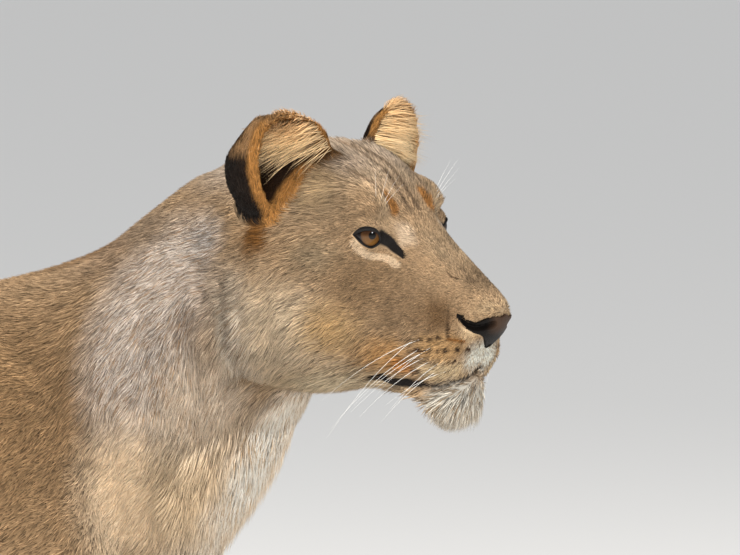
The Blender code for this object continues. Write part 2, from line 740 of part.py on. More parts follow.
def main():
    clear_scene()
    nodes = all_nodes()
    for node in nodes:
        tidy(node)
    points = np.array([v.co for node in nodes for v in node.data.vertices])
    low, high = points.min(axis=0), points.max(axis=0)
    to_origin = Matrix.Translation((-(low[0] + high[0]) / 2, -(low[1] + high[1]) / 2, -low[2]))
    lioness = collection("lioness")
    for node in nodes:
        node.data.transform(to_origin)
        node.data.materials.clear()
        node.data.materials.append(material(node.name))
        lioness.objects.link(node)
        node.data.shade_smooth()
        node.data.set_sharp_from_angle(angle=SHARP_EDGE)


if __name__ == "__main__":
    main()
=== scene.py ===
# %% [markdown]
# # A lioness, standing
# This script dresses a still, life-size lioness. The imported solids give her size, her stance and
# her outline out to the tips of her coat. Here she gets a skin under that outline, a coat of
# many thousand small tufts, eyes, nose leather, rims to her lids and whiskers.
# The solids come in first. They are a fixed frame: nothing below moves or resizes them.

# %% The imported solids
from collections import namedtuple
from math import cos, pi, radians, sin, sqrt

import bmesh
import bpy
import numpy as np
from mathutils import Matrix, Vector
from mathutils.bvhtree import BVHTree


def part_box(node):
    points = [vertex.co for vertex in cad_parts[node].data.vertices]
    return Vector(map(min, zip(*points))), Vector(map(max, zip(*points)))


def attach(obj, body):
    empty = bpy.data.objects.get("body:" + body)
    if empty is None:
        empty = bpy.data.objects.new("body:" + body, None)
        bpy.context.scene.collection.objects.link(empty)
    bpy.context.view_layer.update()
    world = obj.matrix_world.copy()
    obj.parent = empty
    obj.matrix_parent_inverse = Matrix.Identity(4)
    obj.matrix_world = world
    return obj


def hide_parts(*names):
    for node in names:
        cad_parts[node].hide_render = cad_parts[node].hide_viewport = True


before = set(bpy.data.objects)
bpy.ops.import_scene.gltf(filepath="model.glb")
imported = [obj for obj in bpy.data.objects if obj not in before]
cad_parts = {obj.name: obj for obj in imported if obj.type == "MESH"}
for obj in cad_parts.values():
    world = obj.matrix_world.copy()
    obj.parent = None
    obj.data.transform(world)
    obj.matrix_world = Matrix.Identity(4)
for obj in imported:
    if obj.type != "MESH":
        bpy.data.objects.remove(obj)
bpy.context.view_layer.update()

# %% [markdown]
# Two sets of axes help. The body's run from tail to head (x), to her left (y) and up (z). The
# head's run forward (f), to her left (l) and up (u), turned a little to her right, and start
# inside the skull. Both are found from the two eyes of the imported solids, so all that follows
# stays in place if she is packed again.

# %% Axes of the body and of the head
HEAD_TURN = radians(-13)
HEAD_AT = Vector((0.768, -0.030, 0.972))  # start of the head's axes, in the body's
EYE_AT = Vector((0.1590, 0.0535, 0.0765))  # of her left eye, in the head's axes
EYE_RADIUS = 0.0185
SIDES = {"left": 1, "right": -1}


def middle_of(node):
    low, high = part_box(node)
    return (low + high) / 2


between_eyes = (middle_of("eye_left") + middle_of("eye_right")) / 2
turned = Matrix.Rotation(HEAD_TURN, 4, "Z")
HEAD = Matrix.Translation(between_eyes - turned @ Vector((EYE_AT.x, 0, EYE_AT.z))) @ turned
BODY = Matrix.Translation(HEAD.translation - HEAD_AT)
print("head axes start at", tuple(round(c, 4) for c in HEAD.translation))


def moved(points, place):
    """Rows of points through a 4x4 matrix."""
    matrix = np.array(place)
    return points @ matrix[:3, :3].T + matrix[:3, 3]


def in_head(points):
    return moved(points, HEAD.inverted())


def in_body(points):
    return moved(points, BODY.inverted())


# %% [markdown]
# Her soft forms are the same named ovals that the solids were made from. A section is an oval
# across the body, a leg or the head: its top and bottom edge as seen from the side (on a leg
# its front and back edge), its half width, how far down it is widest, how square it is (2 is
# an ellipse) and its shift to the side. A few rows describe a whole trunk.

# %% Sections of the trunk and neck
Section = namedtuple("Section", "top bottom half_width widest full y", defaults=(0.5, 2.1, 0.0))
TRUNK = (
    Section((0.640, 0.850), (0.655, 0.730), 0.060),
    Section((0.605, 0.925), (0.620, 0.620), 0.110),
    Section((0.535, 0.958), (0.555, 0.540), 0.138),
    Section((0.440, 0.970), (0.440, 0.503), 0.148, 0.52),
    Section((0.320, 0.950), (0.320, 0.492), 0.155, 0.52),
    Section((0.160, 0.930), (0.160, 0.490), 0.160, 0.54),
    Section((0.000, 0.922), (0.000, 0.499), 0.161, 0.56),
    Section((-0.150, 0.927), (-0.150, 0.515), 0.153, 0.56),
    Section((-0.280, 0.941), (-0.280, 0.547), 0.141, 0.52),
    Section((-0.400, 0.946), (-0.380, 0.600), 0.138, 0.48),
    Section((-0.500, 0.927), (-0.460, 0.660), 0.127, 0.46),
    Section((-0.580, 0.888), (-0.545, 0.715), 0.096, 0.46),
    Section((-0.630, 0.850), (-0.605, 0.765), 0.050),
)

NECK = (
    Section((0.420, 0.970), (0.580, 0.600), 0.140),
    Section((0.490, 0.9880), (0.672, 0.682), 0.136),
    Section((0.565, 1.0170), (0.740, 0.772), 0.124, 0.50, 2.1, -0.006),
    Section((0.627, 1.0600), (0.782, 0.835), 0.115, 0.50, 2.1, -0.014),
    Section((0.690, 1.0990), (0.808, 0.875), 0.108, 0.50, 2.1, -0.022),
    Section((0.750, 1.1050), (0.838, 0.892), 0.098, 0.50, 2.1, -0.028),
)


# %% Sections of the head, in its own axes
SKULL = (
    Section((-0.100, 0.100), (-0.060, -0.020), 0.080),
    Section((-0.070, 0.126), (-0.030, -0.060), 0.096, 0.50),
    Section((-0.030, 0.148), (0.000, -0.085), 0.106, 0.54, 2.2),
    Section((0.010, 0.161), (0.030, -0.097), 0.112, 0.58, 2.3),
    Section((0.050, 0.168), (0.060, -0.098), 0.114, 0.62, 2.4),
    Section((0.085, 0.1690), (0.090, -0.090), 0.111, 0.62, 2.5),
    Section((0.115, 0.1635), (0.115, -0.086), 0.104, 0.60, 2.5),
    Section((0.140, 0.149), (0.140, -0.083), 0.094, 0.58, 2.4),
    Section((0.163, 0.125), (0.163, -0.081), 0.081, 0.58, 2.2),
    Section((0.185, 0.0995), (0.185, -0.079), 0.068, 0.62, 2.1),
    Section((0.2135, 0.0735), (0.210, -0.077), 0.0585, 0.66, 2.1),
    Section((0.238, 0.0535), (0.232, -0.073), 0.0550, 0.68, 2.2),
    Section((0.256, 0.0390), (0.248, -0.066), 0.0470, 0.66, 2.1),
    Section((0.271, 0.0280), (0.262, -0.055), 0.0370, 0.58, 2.1),
    Section((0.284, 0.0180), (0.272, -0.041), 0.0300, 0.50, 2.3),
    Section((0.294, 0.0100), (0.281, -0.031), 0.0240, 0.45, 2.3),
    Section((0.3035, 0.0020), (0.293, -0.018), 0.0130),
)

BRIDGE = (
    Section((0.110, 0.160), (0.130, 0.060), 0.050, 0.5, 3.5),
    Section((0.145, 0.1470), (0.155, 0.050), 0.047, 0.5, 3.5),
    Section((0.185, 0.1020), (0.185, 0.030), 0.038, 0.5, 4.0),
    Section((0.2135, 0.0750), (0.210, 0.020), 0.0310, 0.5, 4.0),
    Section((0.250, 0.0460), (0.245, 0.000), 0.0280, 0.5, 4.0),
    Section((0.278, 0.0245), (0.272, -0.010), 0.0270, 0.5, 3.5),
    Section((0.294, 0.0120), (0.284, -0.018), 0.0230, 0.5, 3.0),
    Section((0.3045, 0.0040), (0.296, -0.015), 0.0130),
)

JAW = (
    Section((0.030, -0.020), (0.040, -0.100), 0.066),
    Section((0.080, -0.020), (0.085, -0.099), 0.070),
    Section((0.130, -0.030), (0.135, -0.0910), 0.058),
    Section((0.180, -0.050), (0.185, -0.0960), 0.044),
    Section((0.215, -0.055), (0.215, -0.1080), 0.041),
    Section((0.238, -0.055), (0.236, -0.1160), 0.038),
    Section((0.257, -0.055), (0.252, -0.1090), 0.031),
    Section((0.270, -0.062), (0.264, -0.0900), 0.018),
)


# %% Sections of the legs
FORELEG = (
    Section((0.500, 0.925), (0.400, 0.925), 0.036, y=0.085),
    Section((0.560, 0.865), (0.375, 0.820), 0.056, y=0.112),
    Section((0.612, 0.760), (0.380, 0.700), 0.066, y=0.126),
    Section((0.615, 0.665), (0.390, 0.600), 0.067, y=0.134),
    Section((0.570, 0.565), (0.400, 0.520), 0.061, y=0.136),
    Section((0.540, 0.480), (0.418, 0.470), 0.052, y=0.133),
    Section((0.538, 0.380), (0.434, 0.385), 0.046, y=0.128),
    Section((0.534, 0.280), (0.450, 0.285), 0.041, y=0.123),
    Section((0.540, 0.200), (0.456, 0.200), 0.040, y=0.120),
    Section((0.536, 0.140), (0.460, 0.140), 0.039, y=0.118),
    Section((0.554, 0.080), (0.464, 0.080), 0.044, y=0.118),
    Section((0.575, 0.030), (0.480, 0.020), 0.046, y=0.118),
)

HINDLEG = (
    Section((-0.300, 0.890), (-0.480, 0.890), 0.045, y=0.080),
    Section((-0.262, 0.790), (-0.590, 0.780), 0.068, y=0.100),
    Section((-0.238, 0.680), (-0.590, 0.670), 0.076, y=0.112),
    Section((-0.236, 0.590), (-0.548, 0.570), 0.070, y=0.122),
    Section((-0.252, 0.515), (-0.500, 0.490), 0.058, y=0.126),
    Section((-0.325, 0.432), (-0.490, 0.432), 0.046, y=0.125),
    Section((-0.410, 0.357), (-0.518, 0.385), 0.036, y=0.123),
    Section((-0.490, 0.292), (-0.578, 0.332), 0.031, y=0.120),
    Section((-0.522, 0.243), (-0.603, 0.278), 0.030, y=0.118),
    Section((-0.526, 0.190), (-0.590, 0.200), 0.029, y=0.118),
    Section((-0.516, 0.120), (-0.578, 0.120), 0.030, y=0.118),
    Section((-0.496, 0.070), (-0.566, 0.060), 0.037, y=0.118),
    Section((-0.470, 0.030), (-0.552, 0.020), 0.041, y=0.118),
)


# %% The tail, which hangs from the croup and curls back just above the floor
TAIL_PATH = (
    (-0.570, 0.000, 0.850),
    (-0.640, 0.000, 0.838),
    (-0.705, 0.002, 0.790),
    (-0.757, 0.006, 0.690),
    (-0.785, 0.014, 0.560),
    (-0.797, 0.026, 0.430),
    (-0.806, 0.042, 0.315),
    (-0.838, 0.062, 0.225),
    (-0.893, 0.084, 0.170),
    (-0.950, 0.104, 0.152),
)
TAIL_RADII = (0.042, 0.036, 0.030, 0.0245, 0.0215, 0.0195, 0.0185, 0.0290, 0.0300, 0.0080)


# %% [markdown]
# Round muscles, pads and toes are lumps, oval balls that are melted into the lofts.

# %% Lumps
Lump = namedtuple("Lump", "middle radii tilt", defaults=(0.0,))

# Lumps of the head, in its own axes. All but the chin are given for her left side.
CHIN_LUMP = Lump((0.234, 0.0, -0.093), (0.034, 0.036, 0.027))
FACE_LUMPS = {
    "pad": Lump((0.233, 0.026, -0.040), (0.036, 0.031, 0.034), 12),
    "lip": Lump((0.248, 0.016, -0.042), (0.026, 0.020, 0.024)),
    "nostril": Lump((0.268, 0.0165, -0.005), (0.019, 0.014, 0.015)),
    "brow": Lump((0.146, 0.044, 0.104), (0.034, 0.034, 0.028)),
}
MUSCLE_LUMPS = {
    "haunch": Lump((-0.420, 0.098, 0.760), (0.155, 0.075, 0.135)),
    "shoulder": Lump((0.500, 0.108, 0.765), (0.115, 0.074, 0.165), -24),
    "elbow": Lump((0.425, 0.140, 0.515), (0.036, 0.030, 0.042)),
}
PAW_LUMPS = {
    "fore": Lump((0.560, 0.118, 0.039), (0.074, 0.058, 0.045)),
    "hind": Lump((-0.488, 0.118, 0.037), (0.069, 0.052, 0.042)),
}
TOES = 4
TOE_RADII = (0.028, 0.0175, 0.032)
TOE_HEIGHT = 0.027
TOE_REACH = {"fore": 0.047, "hind": 0.045}  # of the middle toes, before the paw's middle
OUTER_TOE_BACK = 0.010  # how far the outer toes lie behind the middle ones
TOE_SPREAD = 0.68  # place of the outer toes, in half widths of the paw


# %% The stride of each leg
# How far each leg is set forward at the floor, as in an easy stand.
STRIDE = {
    ("fore", "left"): 0.045,
    ("fore", "right"): -0.030,
    ("hind", "left"): -0.050,
    ("hind", "right"): 0.045,
}
STRIDE_FROM = {"fore": 0.70, "hind": 0.72}  # height of the joint that each leg swings about


# %% [markdown]
# A loft is a form through its sections, smoothly filled in between them with a Catmull-Rom
# curve. Blender's operators have no loft through unlike ovals, so its rings of points are
# worked out here and handed to a new mesh. Everything round starts as a primitive instead.

# %% Lofts and tubes
LOFT_AROUND, LOFT_STEPS = 32, 6  # points round a ring, and rings from one section to the next
TUBE_AROUND, TUBE_STEPS = 20, 5


def catmull(keys, steps):
    """Rows of numbers, smoothly filled in with this many steps between each two keys."""
    keys = np.array(keys, float)
    ends = np.vstack([2 * keys[0] - keys[1], keys, 2 * keys[-1] - keys[-2]])
    rows = []
    for i in range(1, len(ends) - 2):
        a, b, c, d = ends[i - 1 : i + 3]
        for t in np.arange(steps) / steps:
            cubic = (3 * (b - c) + d - a) * t**3 + (2 * a - 5 * b + 4 * c - d) * t**2
            rows.append(b + 0.5 * (cubic + (c - a) * t))
    return np.array([*rows, keys[-1]])


def new_object(name, points, faces):
    mesh = bpy.data.meshes.new(name)
    mesh.from_pydata(np.asarray(points).tolist(), [], faces)
    obj = bpy.data.objects.new(name, mesh)
    bpy.context.scene.collection.objects.link(obj)
    return obj


def closed_rings(name, rings):
    """A closed mesh through rings of equal numbers of points, with a fan at each end."""
    count, around = len(rings), len(rings[0])
    points = np.vstack([*rings, np.mean(rings[0], axis=0), np.mean(rings[-1], axis=0)])
    faces = []
    for r in range(count - 1):
        for k in range(around):
            here, beside = r * around + k, r * around + (k + 1) % around
            faces.append((here, beside, beside + around, here + around))
    for k in range(around):
        beside, last = (k + 1) % around, (count - 1) * around
        faces.append((count * around, beside, k))
        faces.append((count * around + 1, last + k, last + beside))
    obj = new_object(name, points, faces)
    fix = bmesh.new()
    fix.from_mesh(obj.data)
    bmesh.ops.recalc_face_normals(fix, faces=fix.faces)
    fix.to_mesh(obj.data)
    fix.free()
    return obj


def oval(middle, side, up, half_width, above, below, full, around):
    ring = []
    for k in range(around):
        c, s = cos(2 * pi * k / around), sin(2 * pi * k / around)
        out = np.sign(c) * abs(c) ** (2 / full) * half_width
        rise = np.sign(s) * abs(s) ** (2 / full) * (above if s > 0 else below)
        ring.append(middle + side * out + up * rise)
    return ring


def loft(name, sections, place, mirror=1):
    keys = [(*s.top, *s.bottom, s.half_width, s.widest, s.full, s.y) for s in sections]
    side = np.array((0.0, 1.0, 0.0))
    rings = []
    for tx, tz, bx, bz, half_width, widest, full, y in catmull(keys, LOFT_STEPS):
        top, bottom = np.array((tx, y * mirror, tz)), np.array((bx, y * mirror, bz))
        reach = np.linalg.norm(top - bottom)
        up = (top - bottom) / reach
        middle = top + (bottom - top) * widest
        above, below = widest * reach, (1 - widest) * reach
        rings.append(oval(middle, side, up, half_width, above, below, full, LOFT_AROUND))
    form = closed_rings(name, rings)
    form.data.transform(place)
    return form


def tube(name, path, radii):
    """A round form along a path of points."""
    rows = catmull([(*p, r) for p, r in zip(path, radii)], TUBE_STEPS)
    ahead = np.gradient(rows[:, :3], axis=0)
    rings = []
    for row, direction in zip(rows, ahead):
        direction = direction / np.linalg.norm(direction)
        side = np.cross((0.0, 0.0, 1.0), direction)
        side = np.array((0.0, 1.0, 0.0)) if np.linalg.norm(side) < 0.1 else side
        side = side - direction * (side @ direction)
        side = side / np.linalg.norm(side)
        side = -side if side[1] < 0 else side
        up = np.cross(direction, side)
        rings.append(oval(row[:3], side, up, row[3], row[3], row[3], 2, TUBE_AROUND))
    return closed_rings(name, rings)


# %% [markdown]
# A lump is a sphere primitive, stretched, tilted and moved to its place. Transforming its mesh
# instead of its object keeps the object at the origin, as every finished piece here has to be.

# %% Lumps, and all of her forms
LUMP_BALL = {"segments": 16, "ring_count": 10}


def lump(name, shape, place, mirror=1):
    bpy.ops.mesh.primitive_uv_sphere_add(radius=1.0, **LUMP_BALL)
    obj = bpy.context.active_object
    obj.name = name
    x, y, z = shape.middle
    tilt = Matrix.Rotation(radians(shape.tilt), 4, "Y")
    size = Matrix.Diagonal((*shape.radii, 1.0))
    obj.data.transform(place @ Matrix.Translation((x, y * mirror, z)) @ tilt @ size)
    return obj


def stepped(point, leg, side):
    """A point of a leg, moved forward by its stride: none at its joint, all at the floor."""
    x, z = point
    share = min(max(1 - z / STRIDE_FROM[leg], 0.0), 1.0)
    return (x + STRIDE[leg, side] * share, z)


def leg_forms(leg, side, sections):
    mirror = SIDES[side]
    placed = [
        s._replace(top=stepped(s.top, leg, side), bottom=stepped(s.bottom, leg, side))
        for s in sections
    ]
    (x, y, z), paw_radii, tilt = PAW_LUMPS[leg]
    x += STRIDE[leg, side]
    forms = [
        loft(leg + "leg_form", placed, BODY, mirror),
        lump("paw_form", Lump((x, y, z), paw_radii, tilt), BODY, mirror),
    ]
    for k in range(TOES):
        across = 2 * k / (TOES - 1) - 1
        back = OUTER_TOE_BACK if k in (0, TOES - 1) else 0.0
        there = (x + TOE_REACH[leg] - back, y + across * TOE_SPREAD * paw_radii[1], TOE_HEIGHT)
        forms.append(lump("toe_form", Lump(there, TOE_RADII), BODY, mirror))
    return forms


def head_forms():
    forms = [
        loft("skull_form", SKULL, HEAD),
        loft("bridge_form", BRIDGE, HEAD),
        loft("jaw_form", JAW, HEAD),
        lump("chin_form", CHIN_LUMP, HEAD),
    ]
    for mirror in SIDES.values():
        forms += [lump(name + "_form", shape, HEAD, mirror) for name, shape in FACE_LUMPS.items()]
    return forms


def body_forms():
    forms = [loft("trunk_form", TRUNK, BODY), loft("neck_form", NECK, BODY)]
    for side, mirror in SIDES.items():
        forms += leg_forms("fore", side, FORELEG) + leg_forms("hind", side, HINDLEG)
        forms += [lump(name, shape, BODY, mirror) for name, shape in MUSCLE_LUMPS.items()]
    tail = tube("tail_form", TAIL_PATH, TAIL_RADII)
    tail.data.transform(BODY)
    return [*forms, tail]


# %% [markdown]
# An ear is a cup like half an egg's shell, open to the front. A sphere is cut open with a
# bisect, sheared outwards, given a wall by Solidify, and set on the head. Her right ear listens
# outwards and her left one ahead.

# %% Ears
EAR_TURN = {"left": 2.0, "right": -24.0}  # degrees, of the opening from straight ahead
EAR_TIP = (0.088, 0.104, 0.203)  # of her left ear, in the head's axes
EAR_LEAN = 20.0  # degrees outwards from upright
EAR_HALF = (0.053, 0.046, 0.068)  # depth of the cup, half width, half height
EAR_THICK = 0.0075
EAR_RIM = 0.12  # how far before the middle of the egg its shell is cut off, in cup depths
EAR_BALL = {"segments": 48, "ring_count": 32}
EAR_SHEAR = 0.70  # how far the back of the cup lies outwards, for each unit that it lies back


def only(*objects):
    """Selects just these objects. The first one is active."""
    bpy.ops.object.select_all(action="DESELECT")
    for obj in objects:
        obj.select_set(True)
    bpy.context.view_layer.objects.active = objects[0]


def apply_modifier(obj, kind, **settings):
    only(obj)
    modifier = obj.modifiers.new(kind.title(), kind)
    for key, value in settings.items():
        setattr(modifier, key, value)
    bpy.ops.object.modifier_apply(modifier=modifier.name)


def edit_all(obj, operator, **settings):
    """Runs an edit mode operator on the whole of obj."""
    only(obj)
    bpy.ops.object.mode_set(mode="EDIT")
    bpy.ops.mesh.select_all(action="SELECT")
    operator(**settings)
    bpy.ops.object.mode_set(mode="OBJECT")


def ear_place(side):
    """Where the cup of an ear stands, from its own axes to the frame's."""
    mirror = SIDES[side]
    turn = Matrix.Rotation(radians(EAR_TURN[side]), 4, "Z")
    lean = Matrix.Rotation(radians(-EAR_LEAN * mirror), 4, "X")
    f, l, u = EAR_TIP
    top = lean @ turn @ Vector((0.0, 0.0, EAR_HALF[2]))
    return HEAD @ Matrix.Translation(Vector((f, l * mirror, u)) - top) @ lean @ turn


def ear_form(side):
    bpy.ops.mesh.primitive_uv_sphere_add(radius=1.0, **EAR_BALL)
    ear = bpy.context.active_object
    cut = {"plane_co": (EAR_RIM, 0, 0), "plane_no": (1, 0, 0)}
    edit_all(ear, bpy.ops.mesh.bisect, clear_outer=True, **cut)
    slant = -EAR_SHEAR * SIDES[side]
    shear = Matrix(((1, 0, 0, 0), (slant, 1, 0, 0), (0, 0, 1, 0), (0, 0, 0, 1)))
    ear.data.transform(shear @ Matrix.Diagonal((*EAR_HALF, 1.0)))
    apply_modifier(ear, "SOLIDIFY", thickness=EAR_THICK, offset=-1.0)
    ear.data.transform(ear_place(side))
    return ear


# %% [markdown]
# Now the forms are melted into one flesh. The Remesh modifier fills them with voxels and wraps
# one closed surface round them all, which no Boolean of so many rounded forms does as cleanly.
# Smoothing rounds the folds where forms meet. The ears are kept out of it, as they are thin.

# %% One flesh
MELT = 0.004  # voxel edge
FOLD_ROUNDS = 14  # rounds of smoothing, which rounds folds off over about 12 mm


def read(item, attribute, width, kind=np.float32):
    flat = np.empty(len(item) * width, kind)
    item.foreach_get(attribute, flat)
    return flat.reshape(-1, width) if width > 1 else flat


def points_of(obj):
    return read(obj.data.vertices, "co", 3).astype(float)


def set_points(obj, points):
    obj.data.vertices.foreach_set("co", points.astype(np.float32).ravel())
    obj.data.update()


def edges_of(obj):
    return read(obj.data.edges, "vertices", 2, np.int32)


def relax(values, edges, share, rounds):
    """Moves each row of values towards the mean of its neighbours, by its share, some rounds."""
    a, b = edges.T
    near = np.maximum(np.bincount(np.r_[a, b], minlength=len(values)), 1)
    share = np.broadcast_to(share, len(values))[:, None]
    for _ in range(rounds):
        total = [
            np.bincount(np.r_[a, b], np.r_[values[b, k], values[a, k]], len(values))
            for k in range(values.shape[1])
        ]
        values = values + (np.stack(total, 1) / near[:, None] - values) * share
    return values


def soft(points, middle, reach, edge=1.0):
    """1 inside an oval, and fading to 0 at its outline over this outer share of it."""
    away = np.linalg.norm((points - np.array(middle)) / np.array(reach), axis=1)
    share = np.clip((1 - away) / edge, 0, 1)
    return share * share * (3 - 2 * share)


def close_to(points, middle, reach):
    """Which points lie in an oval. Slow work along paths is done for these alone."""
    return np.nonzero(soft(points, middle, reach, 0.01) > 0)[0]


def in_ear(points, side):
    """Points in an ear's own axes with its shear taken out, and how far out in the cup each
    lies: 1 on the outside of its wall, and 0.86 on the inside."""
    own = moved(points, ear_place(side).inverted())
    own[:, 1] += EAR_SHEAR * SIDES[side] * own[:, 0]
    return own, np.linalg.norm(own / np.array(EAR_HALF), axis=1)


def faded(value, start, end):
    """0 at start and 1 at end, straight between them."""
    return np.clip((value - start) / (end - start), 0, 1)


def ear_share(points):
    """1 on the ears, fading to 0 where they stand on the head."""
    share = np.zeros(len(points))
    for side in SIDES:
        own, shell = in_ear(points, side)
        near = faded(shell, 1.16, 1.08) * faded(own[:, 2], -0.058, -0.044)
        rim = EAR_RIM * EAR_HALF[0]
        share = np.maximum(share, near * faded(own[:, 0], rim + 0.008, rim + 0.003))
    return share


forms = body_forms() + head_forms() + [ear_form(side) for side in SIDES]
only(*forms)
bpy.ops.object.join()
skin = bpy.context.active_object
skin.name = "skin"
apply_modifier(skin, "REMESH", mode="VOXEL", voxel_size=MELT)
smoothing = 0.6 * (1 - 0.9 * ear_share(points_of(skin)))
set_points(skin, relax(points_of(skin), edges_of(skin), smoothing, FOLD_ROUNDS))
print("melted:", len(skin.data.polygons), "faces")

# %% [markdown]
# The face deserves the finest faces and the trunk needs few, as its coat covers it. The trunk
# is thinned with Decimate, the paws less so, and the face is subdivided, twice at the eyes and
# the tip of the nose.

# %% Coarse trunk, fine face
TRUNK_LEFT = 0.08  # share of its triangles that the trunk keeps
PAWS_LEFT = 0.40
PAW_HEIGHT = 0.10


def folded(points):
    """Head or body points with both sides laid over her left one."""
    return np.column_stack([points[:, 0], np.abs(points[:, 1]), points[:, 2]])


def face_middles(obj):
    return read(obj.data.polygons, "center", 3).astype(float)


def select_faces(obj, chosen):
    """Into edit mode with just these faces selected."""
    only(obj)
    bpy.ops.object.mode_set(mode="EDIT")
    bpy.ops.mesh.select_mode(type="FACE")
    bpy.ops.mesh.select_all(action="DESELECT")
    bpy.ops.object.mode_set(mode="OBJECT")
    obj.data.polygons.foreach_set("select", chosen)
    bpy.ops.object.mode_set(mode="EDIT")


def triangulate(obj):
    select_faces(obj, np.ones(len(obj.data.polygons), bool))
    bpy.ops.mesh.quads_convert_to_tris(quad_method="BEAUTY", ngon_method="BEAUTY")
    bpy.ops.object.mode_set(mode="OBJECT")


def refine(obj, chosen):
    """Splits these faces in four and smooths the new points."""
    select_faces(obj, chosen)
    bpy.ops.mesh.subdivide(number_cuts=1, quadcorner="STRAIGHT_CUT")
    bpy.ops.mesh.vertices_smooth(factor=0.5, repeat=2)
    bpy.ops.object.mode_set(mode="OBJECT")
    triangulate(obj)


def paw_faces(middles):
    return middles[:, 2] < PAW_HEIGHT


def trunk_faces(middles):
    place = in_head(middles)
    return ((place[:, 0] < -0.075) | (place[:, 2] < -0.165)) & ~paw_faces(middles)


def muzzle_faces(middles):
    place = folded(in_head(middles))
    in_front = (place[:, 0] > 0.125) & (place[:, 2] > -0.13)
    return in_front & (place[:, 2] < 0.150)


def eye_faces(middles):
    place = folded(in_head(middles))
    near_eye = soft(place, (0.172, 0.058, 0.074), (0.042, 0.034, 0.034)) > 0
    return near_eye | (soft(place, (0.285, 0.016, -0.010), (0.034, 0.036, 0.034)) > 0)


triangulate(skin)
for region, left in ((trunk_faces, TRUNK_LEFT), (paw_faces, PAWS_LEFT)):
    select_faces(skin, region(face_middles(skin)))
    bpy.ops.mesh.decimate(ratio=left)
    bpy.ops.object.mode_set(mode="OBJECT")
refine(skin, muzzle_faces(face_middles(skin)))
refine(skin, eye_faces(face_middles(skin)))
print("refined:", len(skin.data.polygons), "triangles")

# %% [markdown]
# Carving works as a sculptor's brush does: a stroke moves the points near a place, most at its
# middle. The first strokes are the broad ones that the solids have too. The fine ones add what
# the coat lets show: the fold behind the pads, the line of the lips, the nostrils, the dip over
# the eyes and the slack skin behind the jaw.

# %% Strokes of the carving
Stroke = namedtuple("Stroke", "middle reach move")

BROAD_STROKES = {
    "cheek": Stroke((0.075, 0.100, -0.015), (0.085, 0.060, 0.080), (0.0, 0.010, 0.0)),
    "ruff": Stroke((0.030, 0.095, -0.060), (0.065, 0.060, 0.065), (0.0, 0.014, -0.004)),
    "cheekbone": Stroke((0.128, 0.085, 0.035), (0.060, 0.040, 0.044), (0.0, 0.004, 0.0)),
    "eye_socket": Stroke((0.176, 0.064, 0.074), (0.036, 0.034, 0.026), (0.001, 0.002, 0.0)),
    "under_eye": Stroke((0.195, 0.056, 0.040), (0.032, 0.024, 0.030), (-0.001, -0.005, 0.0)),
    "behind_pad": Stroke((0.192, 0.060, -0.034), (0.022, 0.026, 0.045), (0.0, -0.006, 0.0)),
    "lip_line": Stroke((0.220, 0.042, -0.080), (0.050, 0.030, 0.010), (0.0, -0.006, 0.0)),
    "pad_crease": Stroke((0.247, 0.042, -0.010), (0.014, 0.020, 0.030), (-0.001, -0.003, 0.0)),
    "jaw_crease": Stroke((-0.015, 0.095, -0.055), (0.040, 0.055, 0.085), (0.0, -0.009, 0.0)),
    "temple": Stroke((0.115, 0.085, 0.110), (0.045, 0.035, 0.040), (0.0, -0.006, -0.002)),
    "forehead": Stroke((0.130, 0.000, 0.160), (0.070, 0.024, 0.030), (0.0, 0.0, -0.002)),
}
FINE_STROKES = {
    "brow": Stroke((0.172, 0.047, 0.104), (0.026, 0.022, 0.014), (0.003, 0.003, 0.002)),
    "inner_corner": Stroke((0.194, 0.042, 0.060), (0.018, 0.014, 0.014), (-0.001, -0.002, 0.0)),
    "nose_side": Stroke((0.225, 0.036, 0.036), (0.034, 0.016, 0.024), (0.0, -0.003, -0.001)),
    "wing_crease": Stroke((0.257, 0.040, -0.008), (0.008, 0.014, 0.026), (-0.001, -0.0022, 0.0)),
    "lip_middle": Stroke((0.270, 0.000, -0.048), (0.020, 0.012, 0.020), (0.0022, 0.0, 0.0)),
    "ear_roof": Stroke((0.095, 0.085, 0.205), (0.050, 0.050, 0.035), (0.0, 0.0, -0.006)),
    "ear_rear": Stroke((0.040, 0.112, 0.180), (0.030, 0.045, 0.045), (0.003, 0.0, -0.004)),
    "pad_bulge": Stroke((0.246, 0.044, -0.044), (0.028, 0.022, 0.026), (0.001, 0.004, -0.001)),
}


def carve(points, strokes):
    """Head points after the strokes. One on the middle line acts once for each side."""
    for middle, reach, move in strokes.values():
        for mirror in SIDES.values():
            away = np.linalg.norm((points - np.multiply(middle, (1, mirror, 1))) / reach, axis=1)
            share = np.clip(1 - away**2, 0, 1) ** 2
            points = points + share[:, None] * np.multiply(move, (1, mirror, 1))
    return points


# %% [markdown]
# Some carving follows a path: the gap between the lips, the nostril that runs from the front of
# the nose out along its wing, and the gaps between the toes. A groove presses in the points
# near such a path.

# %% Grooves
# Each is pressed in this far to the sides of its path, and by this move.
LIP_GROOVE = (0.0065, (-0.002, -0.005, 0.001))
PHILTRUM_GROOVE = (0.0035, (-0.0030, 0.0, 0.0))
LEATHER_GROOVE = (0.0030, (-0.0025, 0.0, 0.0))
# Paths on her left side, in the head's axes.
LIP_PATH = (
    (0.270, 0.004, -0.0625),
    (0.267, 0.016, -0.0685),
    (0.254, 0.031, -0.0750),
    (0.232, 0.037, -0.0785),
    (0.206, 0.042, -0.0760),
    (0.181, 0.046, -0.0715),
)
PHILTRUM_PATH = (
    (0.2790, 0.0000, -0.0350),
    (0.2760, 0.0000, -0.0440),
    (0.2730, 0.0000, -0.0530),
    (0.2700, 0.0000, -0.0610),
)
NOSTRIL_PATH = (
    (0.2945, 0.0135, -0.0105),
    (0.2891, 0.0197, -0.0129),
    (0.2830, 0.0250, -0.0139),
    (0.2766, 0.0300, -0.0115),
    (0.2712, 0.0332, -0.0060),
)


